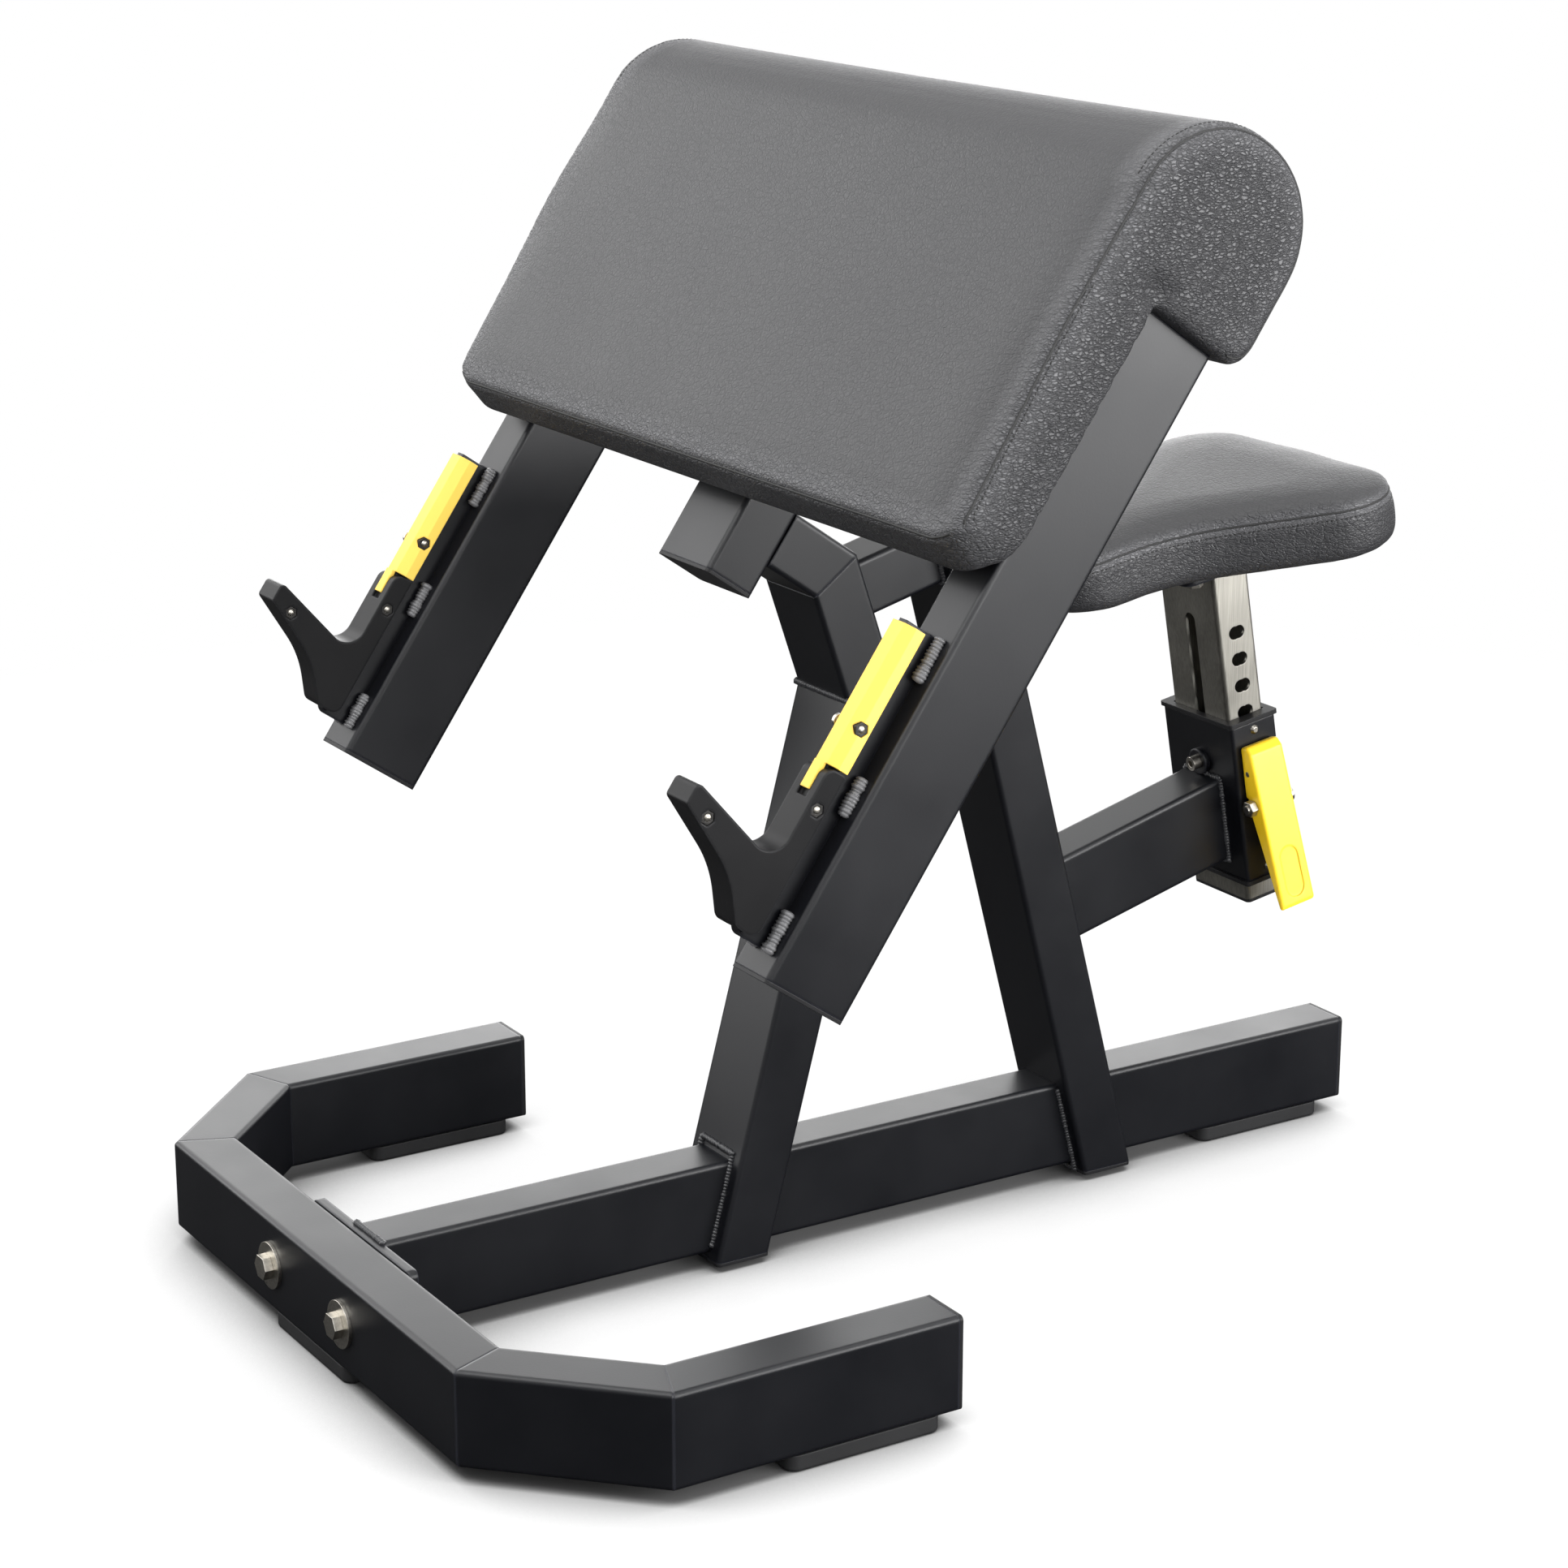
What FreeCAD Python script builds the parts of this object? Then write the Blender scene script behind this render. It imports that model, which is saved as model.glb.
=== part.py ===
"""Preacher curl bench: a welded tube frame with bar hooks, a padded arm rest and a seat on a sliding post.

Axes: +X is the lever's side, +Y runs from the bar side to the seat, +Z is up. The origin is on the
floor, under the middle of the bench's bounding box. Lengths are millimetres, angles are degrees.
"""
import FreeCAD, Part
import math
import os
from types import SimpleNamespace

import Sketcher
from FreeCAD import Placement, Rotation, Vector

SIZES = {
    # frame tube, used standing on edge or laid flat
    "tube_tall": 80,
    "tube_wide": 50,
    "tube_wall": 3,
    "tube_corner": 4,
    "cap_thick": 3,
    "cap_depth": 12,
    "cap_fit": 0.3,
    # base
    "frame_length": 1058,
    "base_width": 774,
    "corner_run": 120,
    "leg_reach": 376,
    "foot_thick": 14,
    "foot_length": 140,
    "foot_width": 47,
    "foot_corner": 10,
    "foot_edge": 3,
    "leg_foot_inset": 14,
    "rear_foot_inset": 20,
    # bolted joint between spine and cross tube
    "flange_width": 180,
    "flange_thick": 8,
    "flange_corner": 6,
    "bolt_spacing": 134,
    "bolt_dia": 12,
    "bolt_flats": 19,
    "bolt_head": 7.5,
    "nut_thick": 10,
    "washer_dia": 40,
    "washer_thick": 3,
    "hole_clear": 1,
    "bolt_spare": 3,
    # posts, elbow and strut
    "post_lean": 15,
    "rear_post_inset": 293,
    "post_spread": 363,
    "post_bottom": 9,
    "knee_height": 490,
    "elbow_lean": 19,
    "bend_height": 598,
    "strut_tall": 50,
    "strut_drop": 28,
    "post_top_spare": 15,
    # inclined arms: the datum is the lower corner of their top face
    "arm_slope": 55.2,
    "arm_ahead": 196,
    "arm_low_z": 400,
    "arm_inset": 31,
    "arm_length": 567,
    "centre_arm_low": 268,
    "crossbar_at": 440,
    "crossbar_tall": 50,
    # bar hooks: places are measured up the arm and out of its top face
    "hook_start": 18,
    "hook_end": 279,
    "plate_thick": 10,
    "cover_wide": 30,
    "cover_low": 22,
    "cover_back": 20,
    "cover_heel": 41,
    "cover_skin": 4.5,
    "edge_reveal": 1.5,
    "cradle_floor": 75,
    "cradle_wall": 37.5,
    "cradle_radius": 18,
    "waist_up": 53,
    "waist_out": 68,
    "waist_radius": 130,
    "tip_reach": 131,
    "tip_low": 81,
    "tip_thick": 18,
    "cover_top": 157,
    "cover_round": 9,
    "cover_top_round": 2,
    "tip_round": 4,
    "guard_gap": 1.5,
    "guard_end": 276,
    "guard_top": 36,
    "guard_chamfer": 7,
    "guard_round": 2,
    "guard_corner": 1,
    "tongue_reach": 21,
    "tongue_wide": 12,
    "tongue_thick": 4,
    "tongue_proud": 1,
    "tongue_fit": 0.4,
    "hook_screw_dia": 6,
    "hook_nut_flats": 10,
    "hook_nut_thick": 4.5,
    "hook_nut_sunk": 0.8,
    "nut_pocket_fit": 0.6,
    "tip_screw_up": 80,
    "tip_screw_out": 109,
    "wall_screw_up": 125,
    "guard_screw_up": 192,
    "side_screw_out": 28,
    "screw_head_dia": 10.5,
    "screw_head_thick": 3.3,
    # arm pad
    "pad_overhang": 8,
    "pad_low": 323,
    "pad_thick": 60,
    "pad_crown": 6,
    "pad_bow": 900,
    "pad_nose": 30,
    "pad_shoulder": 42,
    "pad_tuck": 13.5,
    "pad_tuck_round": 15,
    "roll_top": 723,
    "roll_depth": 172,
    "roll_radius": 84,
    "roll_lip": 16,
    "pad_edge": 16,
    "pad_corner": 28,
    "board_thick": 15,
    "board_inset": 12,
    "pad_bolt_dia": 8,
    "pad_bolt_flats": 13,
    "pad_bolt_head": 5.3,
    "pad_bolt_low": 385,
    "pad_bolt_high": 520,
    # seat arm and sleeve: the column's datum is the middle of the sleeve
    "seat_arm_height": 267,
    "column_behind": 167,
    "column_z": 338,
    "column_tilt": 10,
    "sleeve_wide": 100,
    "sleeve_deep": 50,
    "sleeve_length": 150,
    "bushing_lip": 2,
    "bushing_flange": 4,
    "bushing_depth": 28,
    "slide_clear": 0.35,
    "bushing_screw_inset": 8,
    "bushing_screw_dia": 5,
    "bushing_screw_head": 9,
    "bushing_screw_dome": 2.5,
    # seat post
    "post_wide": 80,
    "post_deep": 40,
    "post_top": 222,
    "post_low": -98,
    "hole_pitch": 25.4,
    "holes_above": 5,
    "holes_below": 3,
    "hole_dia": 12,
    "hole_offset": 5,
    "slot_wide": 14,
    "slot_top": 174,
    "slot_low": -60,
    # guide screw
    "guide_at": 33,
    "guide_dia": 10,
    "guide_head_dia": 13,
    "guide_head": 8,
    "guide_socket": 6,
    "guide_entry": 1,
    "boss_dia": 24,
    "boss_thick": 5,
    # lever and locking plunger
    "lever_wide": 37,
    "lever_wall": 3.5,
    "lever_face": 4,
    "lever_top": 57,
    "lever_low": -97,
    "lever_top_out": 15,
    "lever_low_out": 40,
    "lever_gap": 1,
    "lever_notch": 6,
    "lever_notch_out": 5,
    "lever_lip": 6,
    "lever_edge": 2.5,
    "lever_rim_out": 7.5,
    "lever_crest_out": 9,
    "lever_tip_drop": 2,
    "lever_foot_rise": 3,
    "lever_foot_back": 6,
    "lever_notch_step": 1,
    "lever_round": 4,
    "lever_small_round": 2,
    "thumb_long": 48,
    "thumb_wide": 20,
    "thumb_deep": 1.2,
    "thumb_inset": 10,
    "pivot_out": 12,
    "pivot_dia": 8,
    "pivot_flats": 13,
    "pivot_nut": 6.5,
    "pivot_spare": 2,
    "pivot_head_dia": 14,
    "pivot_head": 4,
    "pivot_clear": 0.06,
    "side_clear": 0.6,
    "ear_radius": 6.5,
    "ear_thick": 4,
    "bracket_thick": 3,
    "plunger_at": 31,
    "plunger_dia": 12,
    "plunger_clear": 0.1,
    "plunger_gap": 0.45,
    "plunger_end": 12.5,
    "guide_bush_dia": 18,
    "guide_bush_out": 4.5,
    "pull_pin_dia": 5,
    "pull_pin_out": 7.5,
    "pull_slot_tall": 6.6,
    "pull_slot_fit": 0.4,
    "spring_at": -45,
    "spring_dia": 12,
    "spring_wire": 1.6,
    "spring_turns": 6,
    "spring_clear": 0.3,
    # seat
    "plate_wide": 116,
    "plate_deep": 120,
    "seat_plate_thick": 6,
    "seat_plate_corner": 10,
    "seat_board_thick": 15,
    "seat_board_inset": 18,
    "seat_board_front": 36,
    "seat_rear": 131,
    "seat_front": 196,
    "seat_rear_half": 182,
    "seat_waist_half": 60,
    "seat_waist": 78,
    "seat_front_half": 72,
    "seat_rear_round": 60,
    "seat_front_round": 48,
    "seat_waist_round": 400,
    "seat_back_bow": 10,
    "seat_seam": 49,
    "seat_crown": 9,
    "seat_dome": 48,
    "seat_tuck": 13,
    "seat_nose": 30,
    "seat_bolt_dia": 8,
    "seat_bolt_flats": 13,
    "seat_bolt_head": 5.3,
    "seat_bolt_x": 46,
    "seat_bolt_y": 44,
    # cutting tools
    "saw_size": 260,
    "stock_spare": 70,
}

# Seat's side: shares of the seam's height, of the tuck and of the nose. Its top: shares of crown and dome.
SEAT_SIDE = [(0, 1, 1), (0.16, 0.35, 0.4), (0.4, 0, 0.08), (1, 0, 0)]
SEAT_TOP = [(0.45, 0.1), (0.75, 0.35), (1, 1)]
QUARTER_ROUND = (0, 30, 60, 90)
SIDE_SHARE = 0.499

X_AXIS = Vector(1, 0, 0)
Y_AXIS = Vector(0, 1, 0)
Z_AXIS = Vector(0, 0, 1)
NEAR, FAR = 1, -1
SIDES = {"right": NEAR, "left": FAR}

doc = FreeCAD.newDocument("preacher_curl_bench")
sheet = doc.addObject("Spreadsheet::Sheet", "params")
size = SimpleNamespace()
nodes = []


def keep(alias, number):
    """Writes a number to the sheet under its alias, for expressions to read."""
    row = len(vars(size)) + 1
    sheet.set(f"A{row}", alias)
    sheet.set(f"B{row}", f"{number:.9g}")
    sheet.setAlias(f"B{row}", alias)
    setattr(size, alias, float(number))


for name, number in SIZES.items():
    keep(name, number)


# Placing

def turn(axis, angle):
    return Placement(Vector(), Rotation(axis, angle))


def shift(x=0.0, y=0.0, z=0.0):
    return Placement(Vector(x, y, z), Rotation())


def lean(angle):
    """Unit vector in the side plane, leaning back from upright by an angle."""
    return Vector(0, math.sin(math.radians(angle)), math.cos(math.radians(angle)))


def unit(vector):
    return vector / vector.Length


# The rearmost point is the spine's cap and the foremost the bolt heads, and the origin is midway
bolt_proud = size.washer_thick + size.bolt_head
front_y = (bolt_proud - size.frame_length - size.cap_thick) / 2
spine_mid = size.foot_thick + size.tube_tall / 2
rear_post_y = size.frame_length - size.rear_post_inset
front_post_y = rear_post_y - size.post_spread
arm_spread = size.base_width / 2 - size.arm_inset
pad_width = size.base_width + 2 * size.pad_overhang


def side_point(y, z, x=0.0):
    """Point at a distance behind the cross tube's front face and a height above the floor."""
    return Vector(x, y + front_y, z)


arm_at = Placement(side_point(front_post_y - size.arm_ahead, size.arm_low_z),
                   Rotation(X_AXIS, size.arm_slope))
column_at = Placement(side_point(rear_post_y + size.column_behind, size.column_z),
                      Rotation(X_AXIS, size.column_tilt))


def run_at(start, rise, heading=0.0):
    """Placement of a length that starts at a point and rises rearwards, turned to a heading in plan."""
    return Placement(start, Rotation(Z_AXIS, heading) * Rotation(X_AXIS, rise - 90))


def rearward(up):
    """Normal of a post's rear face."""
    return Vector(0, up.z, -up.y)


def angle_of(direction):
    """Rise of a direction in the side plane, from level rearwards."""
    return math.degrees(math.atan2(direction.z, direction.y))


# Layout: points and directions that several assemblies share

half_tube = size.tube_wide / 2
diagonal = unit(X_AXIS + Y_AXIS)
inward = unit(Y_AXIS - X_AXIS)
miter = half_tube / (1 + Y_AXIS * inward)
front_corner = side_point(0, spine_mid, size.base_width / 2 - size.corner_run) + (Y_AXIS + inward) * miter
side_corner = side_point(size.corner_run, spine_mid, size.base_width / 2) + (inward - X_AXIS) * miter
leg_end = side_point(size.leg_reach, spine_mid, side_corner.x)

front_up = lean(size.post_lean)
rear_up = lean(-size.post_lean)
elbow_up = lean(-size.elbow_lean)
arm_out = arm_at.Rotation.multVec(Z_AXIS)
front_foot_point = side_point(front_post_y, spine_mid)
rear_foot_point = side_point(rear_post_y, spine_mid)
knee = front_foot_point + front_up * ((size.knee_height - spine_mid) / front_up.z)
bend = knee + elbow_up * ((size.bend_height - size.knee_height) / elbow_up.z)
elbow_top_reach = -size.tube_wide - (bend - arm_at.Base) * arm_out

strut_way = rearward(rear_up)
strut_start = bend - elbow_up * size.strut_drop
rear_face = rear_foot_point - rearward(rear_up) * half_tube
strut_reach = (rear_face - strut_start) * strut_way
strut_end = strut_start + strut_way * strut_reach
rear_length = (strut_end - rear_face) * rear_up + size.strut_tall / 2 + size.post_top_spare

seat_arm_way = rearward(rear_up)
behind_post = rear_face + rearward(rear_up) * size.tube_wide
seat_arm_start = behind_post + rear_up * ((size.seat_arm_height - behind_post.z) / rear_up.z)
sleeve_front = column_at.multVec(Vector(0, -size.sleeve_deep / 2, 0))
sleeve_back = column_at.Rotation.multVec(Y_AXIS)
seat_arm_reach = ((sleeve_front - seat_arm_start) * sleeve_back) / (seat_arm_way * sleeve_back)

sleeve_face = size.sleeve_wide / 2
pad_back = size.pad_thick - size.roll_depth
plunger_nose = size.post_wide / 2 + size.plunger_gap
lever_room = size.lever_wide - 2 * size.lever_wall
bracket_out = lever_room / 2 - size.side_clear
bracket_low = -size.ear_radius - size.bracket_thick
bracket_high = size.plunger_at + size.guide_bush_dia / 2 + size.bracket_thick
bushing_wall = (size.sleeve_wide - size.post_wide) / 2 - size.tube_wall - size.slide_clear
tongue_groove = size.tongue_thick + size.tongue_fit

DERIVED = {
    "cap_inset": size.tube_wall + size.cap_fit,
    "bolt_hole": size.bolt_dia + size.hole_clear,
    "through_tube": size.tube_wide + size.flange_thick + 2 * size.stock_spare,
    "bolt_reach": size.washer_thick + size.tube_wide + size.flange_thick + size.nut_thick + size.bolt_spare,
    "cross_stock": 2 * (front_corner.x + size.stock_spare),
    "corner_stock": (side_corner - front_corner).Length + 2 * size.stock_spare,
    "leg_stock": leg_end.y - side_corner.y + size.stock_spare,
    "front_post_stock": (knee - front_foot_point).Length + 2 * size.stock_spare + size.tube_tall,
    "elbow_low_stock": (bend - knee).Length + 2 * size.stock_spare,
    "elbow_top_stock": size.stock_spare + elbow_top_reach,
    "rear_post_stock": rear_length + size.stock_spare + size.tube_tall,
    "strut_stock": strut_reach + size.stock_spare,
    "spine_front_stock": front_foot_point.y - front_y - size.tube_wide - size.flange_thick,
    "spine_middle_stock": rear_foot_point.y - front_foot_point.y,
    "spine_rear_stock": front_y + size.frame_length - rear_foot_point.y,
    "bolt_through": size.tube_tall + 2 * size.stock_spare,
    "pad_bolt_hole": size.pad_bolt_dia + size.hole_clear,
    "centre_arm_length": size.arm_length - size.centre_arm_low,
    "crossbar_length": arm_spread - size.tube_wide / 2 - size.tube_tall / 2,
    "post_cap_deep": size.tube_wide / math.cos(math.radians(size.post_lean)),
    "hook_hole_dia": size.hook_screw_dia + size.hole_clear / 2,
    "nut_pocket_flats": size.hook_nut_flats + size.nut_pocket_fit,
    "hook_shank_length": size.cover_wide - size.hook_nut_sunk,
    "guard_length": size.guard_end - size.cover_top - size.guard_gap,
    "tongue_length": size.tongue_reach + size.guard_gap,
    "groove_wide": size.tongue_wide + 2 * size.tongue_fit,
    "groove_long": size.tongue_reach + 4 * size.guard_gap,
    "groove_open": size.cover_round + tongue_groove,
    "board_width": pad_width - 2 * size.board_inset,
    "board_length": size.arm_length - size.pad_low - size.pad_nose,
    "roll_board_deep": size.board_thick - pad_back - size.roll_lip,
    "pad_bolt_reach": size.tube_tall + size.board_thick - size.bolt_spare,
    "seat_arm_stock": seat_arm_reach + size.stock_spare,
    "guide_reach": (size.boss_thick + (size.sleeve_deep - size.post_deep) / 2 + size.tube_wall
                    + size.guide_entry),
    "guide_hole": size.guide_dia + size.hole_clear / 2,
    "guide_bush_hole": size.guide_bush_dia + size.hole_clear / 5,
    "bushing_screw_reach": size.tube_wall + bushing_wall / 2,
    "bore_height": 2 * (size.bushing_depth + size.bushing_flange),
    "post_length": size.post_top - size.post_low,
    "hole_through": size.post_wide / 2,
    "lever_inside": lever_room,
    "pivot_bore": size.pivot_dia + 2 * size.pivot_clear,
    "lever_through": size.lever_wide + 2 * size.side_clear,
    "thumb_deep_both": 2 * size.thumb_deep,
    "bracket_wide": 2 * bracket_out,
    "bracket_tall": bracket_high - bracket_low,
    "ear_gap": 2 * (bracket_out - size.ear_thick),
    "bush_length": size.tube_wall + size.guide_bush_out,
    "plunger_bore": size.plunger_dia + 2 * size.plunger_clear,
    "pivot_reach": size.lever_wide + 2 * size.side_clear + size.pivot_nut + size.pivot_spare,
    "plunger_length": sleeve_face + size.plunger_end - plunger_nose,
    "pull_slot_wide": size.pull_pin_dia + 2 * size.pull_slot_fit,
    "seat_bolt_hole": size.seat_bolt_dia + size.hole_clear,
    "seat_bolt_reach": size.seat_plate_thick + size.seat_board_thick - size.bolt_spare,
}
for name, number in DERIVED.items():
    keep(name, number)
doc.recompute()


# Shapes

def part(obj, label):
    """Names an object as a sub-part of the bench."""
    obj.Label = label
    nodes.append(obj)
    return obj


def sketch_in(body, role):
    """New sketch on one of a body's own origin planes."""
    plane = next(item for item in body.Origin.OriginFeatures if item.Role == role)
    sketch = body.newObject("Sketcher::SketchObject", body.Name + "_sketch")
    sketch.AttachmentSupport = [(plane, "")]
    sketch.MapMode = "FlatFace"
    return sketch


def centred_rectangle(sketch, wide, tall, inset=None):
    """Rectangle about the sketch's origin, sized by two aliases less an inset on every side."""
    less = f" - 2 * params.{inset}" if inset else ""
    trim = 2 * getattr(size, inset) if inset else 0.0
    half_w = (getattr(size, wide) - trim) / 2
    half_t = (getattr(size, tall) - trim) / 2
    corners = [Vector(-half_w, -half_t), Vector(half_w, -half_t),
               Vector(half_w, half_t), Vector(-half_w, half_t)]
    first = sketch.GeometryCount
    for index, corner in enumerate(corners):
        sketch.addGeometry(Part.LineSegment(corner, corners[(index + 1) % 4]), False)
    for index in range(4):
        following = first + (index + 1) % 4
        sketch.addConstraint(Sketcher.Constraint("Coincident", first + index, 2, following, 1))
        sketch.addConstraint(Sketcher.Constraint("Vertical" if index % 2 else "Horizontal", first + index))
    sketch.addConstraint(Sketcher.Constraint("Symmetric", first, 1, first + 2, 1, -1, 1))
    across = sketch.addConstraint(Sketcher.Constraint("DistanceX", first, 1, first, 2, 2 * half_w))
    sketch.setExpression(f"Constraints[{across}]", f"params.{wide}{less}")
    up = sketch.addConstraint(Sketcher.Constraint("DistanceY", first + 1, 1, first + 1, 2, 2 * half_t))
    sketch.setExpression(f"Constraints[{up}]", f"params.{tall}{less}")


def rounded_outline(sketch, corners):
    """Closed outline through corners (u, v, radius); each radius is limited by the sides that it rounds."""
    count = len(corners)
    points = [Vector(u, v) for u, v, radius in corners]
    cuts = []
    for index, (u, v, radius) in enumerate(corners):
        back = points[index - 1] - points[index]
        ahead = points[(index + 1) % count] - points[index]
        half = back.getAngle(ahead) / 2
        reach = min(radius / math.tan(half), SIDE_SHARE * min(back.Length, ahead.Length)) if radius else 0.0
        start = points[index] + unit(back) * reach
        end = points[index] + unit(ahead) * reach
        bow = reach * math.tan(half)
        middle = points[index] + unit(unit(back) + unit(ahead)) * (bow / math.sin(half) - bow)
        cuts.append((start, middle, end, reach))
    for index, (start, middle, end, reach) in enumerate(cuts):
        if reach:
            sketch.addGeometry(Part.Arc(start, middle, end), False)
        sketch.addGeometry(Part.LineSegment(end, cuts[(index + 1) % count][0]), False)


def moved_corners(corners, insets):
    """Corners of an outline whose sides are each moved inwards; side n runs from corner n to the next."""
    count = len(corners)
    lines = []
    for index, (u, v, radius) in enumerate(corners):
        next_u, next_v, _ = corners[(index + 1) % count]
        along = unit(Vector(next_u - u, next_v - v))
        inward = Vector(-along.y, along.x)
        lines.append((Vector(u, v) + inward * insets[index], along))
    result = []
    for index, (u, v, radius) in enumerate(corners):
        (point, along), (before, heading) = lines[index], lines[index - 1]
        cross = heading.x * along.y - heading.y * along.x
        gap = point - before
        travel = (gap.x * along.y - gap.y * along.x) / cross
        meet = before + heading * travel
        result.append((meet.x, meet.y, radius))
    return result


def layered(name, role, sections):
    """Body lofted through outlines, each at its own distance from an origin plane."""
    body = doc.addObject("PartDesign::Body", name)
    sketches = []
    for distance, corners in sections:
        sketch = sketch_in(body, role)
        sketch.AttachmentOffset = shift(0, 0, distance)
        rounded_outline(sketch, corners)
        sketches.append(sketch)
    loft = body.newObject("PartDesign::AdditiveLoft", name + "_loft")
    loft.Profile = sketches[0]
    loft.Sections = sketches[1:]
    loft.Ruled = True
    doc.recompute()
    return body


def slab(name, role, corners, length, both_ways=True, flip=False):
    """Body padded from a rounded outline on an origin plane, to the length that an alias holds."""
    body = doc.addObject("PartDesign::Body", name)
    sketch = sketch_in(body, role)
    rounded_outline(sketch, corners)
    pad = body.newObject("PartDesign::Pad", name + "_pad")
    pad.Profile = sketch
    pad.SideType = "Symmetric" if both_ways else "One side"
    pad.Reversed = flip
    pad.setExpression("Length", f"params.{length}")
    doc.recompute()
    return body


def fillet(body, radius, chosen):
    """Rounds the edges of a body's tip for which chosen(edge) is true."""
    tip = body.Tip
    edges = [f"Edge{n}" for n, edge in enumerate(tip.Shape.Edges, 1) if chosen(edge)]
    feature = body.newObject("PartDesign::Fillet", body.Name + "_fillet")
    feature.Base = (tip, edges)
    feature.setExpression("Radius", f"params.{radius}")
    doc.recompute()


def rectangle_corners(wide, tall, radius=0.0, u=0.0, v=0.0):
    half_w, half_t = wide / 2, tall / 2
    return [(u - half_w, v - half_t, radius), (u + half_w, v - half_t, radius),
            (u + half_w, v + half_t, radius), (u - half_w, v + half_t, radius)]


def outer_long_edge(wide, tall):
    """Picks the four long outer corners of a tube or plate that stands on the XY plane."""
    def chosen(edge):
        ends = [vertex.Point for vertex in edge.Vertexes]
        upright = len(ends) == 2 and abs(ends[0].x - ends[1].x) + abs(ends[0].y - ends[1].y) < 1e-6
        return upright and abs(abs(ends[0].x) - wide / 2) < 1e-6 and abs(abs(ends[0].y) - tall / 2) < 1e-6
    return chosen


def tube(name, wide, tall, length, place, corner="tube_corner"):
    """Length of rectangular tube along its own Z, with rounded outer corners."""
    body = doc.addObject("PartDesign::Body", name + "_stock")
    sketch = sketch_in(body, "XY_Plane")
    centred_rectangle(sketch, wide, tall)
    centred_rectangle(sketch, wide, tall, "tube_wall")
    pad = body.newObject("PartDesign::Pad", name + "_pad")
    pad.Profile = sketch
    pad.setExpression("Length", f"params.{length}")
    doc.recompute()
    fillet(body, corner, outer_long_edge(getattr(size, wide), getattr(size, tall)))
    body.Placement = place
    return body


def end_cap(name, wide, tall, place):
    """Tube end cap: a plate flush with the tube and a plug inside it. Its own Z points out of the tube."""
    body = doc.addObject("PartDesign::Body", name)
    plate_sketch = sketch_in(body, "XY_Plane")
    centred_rectangle(plate_sketch, wide, tall)
    plate = body.newObject("PartDesign::Pad", name + "_plate")
    plate.Profile = plate_sketch
    plate.setExpression("Length", "params.cap_thick")
    doc.recompute()
    fillet(body, "tube_corner", outer_long_edge(getattr(size, wide), getattr(size, tall)))
    plug_sketch = sketch_in(body, "XY_Plane")
    centred_rectangle(plug_sketch, wide, tall, "cap_inset")
    plug = body.newObject("PartDesign::Pad", name + "_plug")
    plug.Profile = plug_sketch
    plug.Reversed = True
    plug.setExpression("Length", "params.cap_depth")
    doc.recompute()
    body.Placement = place
    return body


def rod(name, dia, length, place, along=Z_AXIS):
    """Cylinder that starts at a placement and runs along one of its axes."""
    bar = doc.addObject("Part::Cylinder", name)
    bar.setExpression("Radius", f"params.{dia} / 2")
    bar.setExpression("Height", f"params.{length}")
    bar.Placement = place * Placement(Vector(), Rotation(Z_AXIS, along))
    return bar


def hexagon(name, flats, thick, place, along=Z_AXIS):
    """Hexagonal prism, sized across its flats."""
    block = doc.addObject("Part::Prism", name)
    block.Polygon = 6
    block.setExpression("Circumradius", f"params.{flats} / sqrt(3)")
    block.setExpression("Height", f"params.{thick}")
    block.Placement = place * Placement(Vector(), Rotation(Z_AXIS, along))
    return block


def box(name, wide, deep, tall, place):
    """Box about its placement in X and Y, standing on it in Z."""
    block = doc.addObject("Part::Box", name)
    block.setExpression("Length", f"params.{wide}")
    block.setExpression("Width", f"params.{deep}")
    block.setExpression("Height", f"params.{tall}")
    block.Placement = place * shift(-getattr(size, wide) / 2, -getattr(size, deep) / 2)
    return block


def cut(name, base, *tools):
    """Base with every tool taken out of it."""
    result = base
    for index, tool in enumerate(tools):
        step = doc.addObject("Part::Cut", f"{name}_cut{index}")
        step.Base = result
        step.Tool = tool
        result = step
    doc.recompute()
    return result


def fuse(name, *pieces):
    joined = doc.addObject("Part::MultiFuse", name)
    joined.Shapes = list(pieces)
    doc.recompute()
    return joined


def group(name, pieces):
    """Separate solids kept together as one sub-part."""
    bundle = doc.addObject("Part::Compound", name + "_group")
    bundle.Links = list(pieces)
    doc.recompute()
    return bundle


def saw(name, point, normal):
    """Block that takes away everything beyond a plane, on the side its normal points to."""
    place = Placement(point, Rotation(Z_AXIS, normal))
    return box(name, "saw_size", "saw_size", "saw_size", place)


def copy_of(name, source):
    """Another instance of a finished solid, to be used as a tool."""
    twin = doc.addObject("Part::Compound", name)
    twin.Links = [source]
    return twin


# Base

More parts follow.
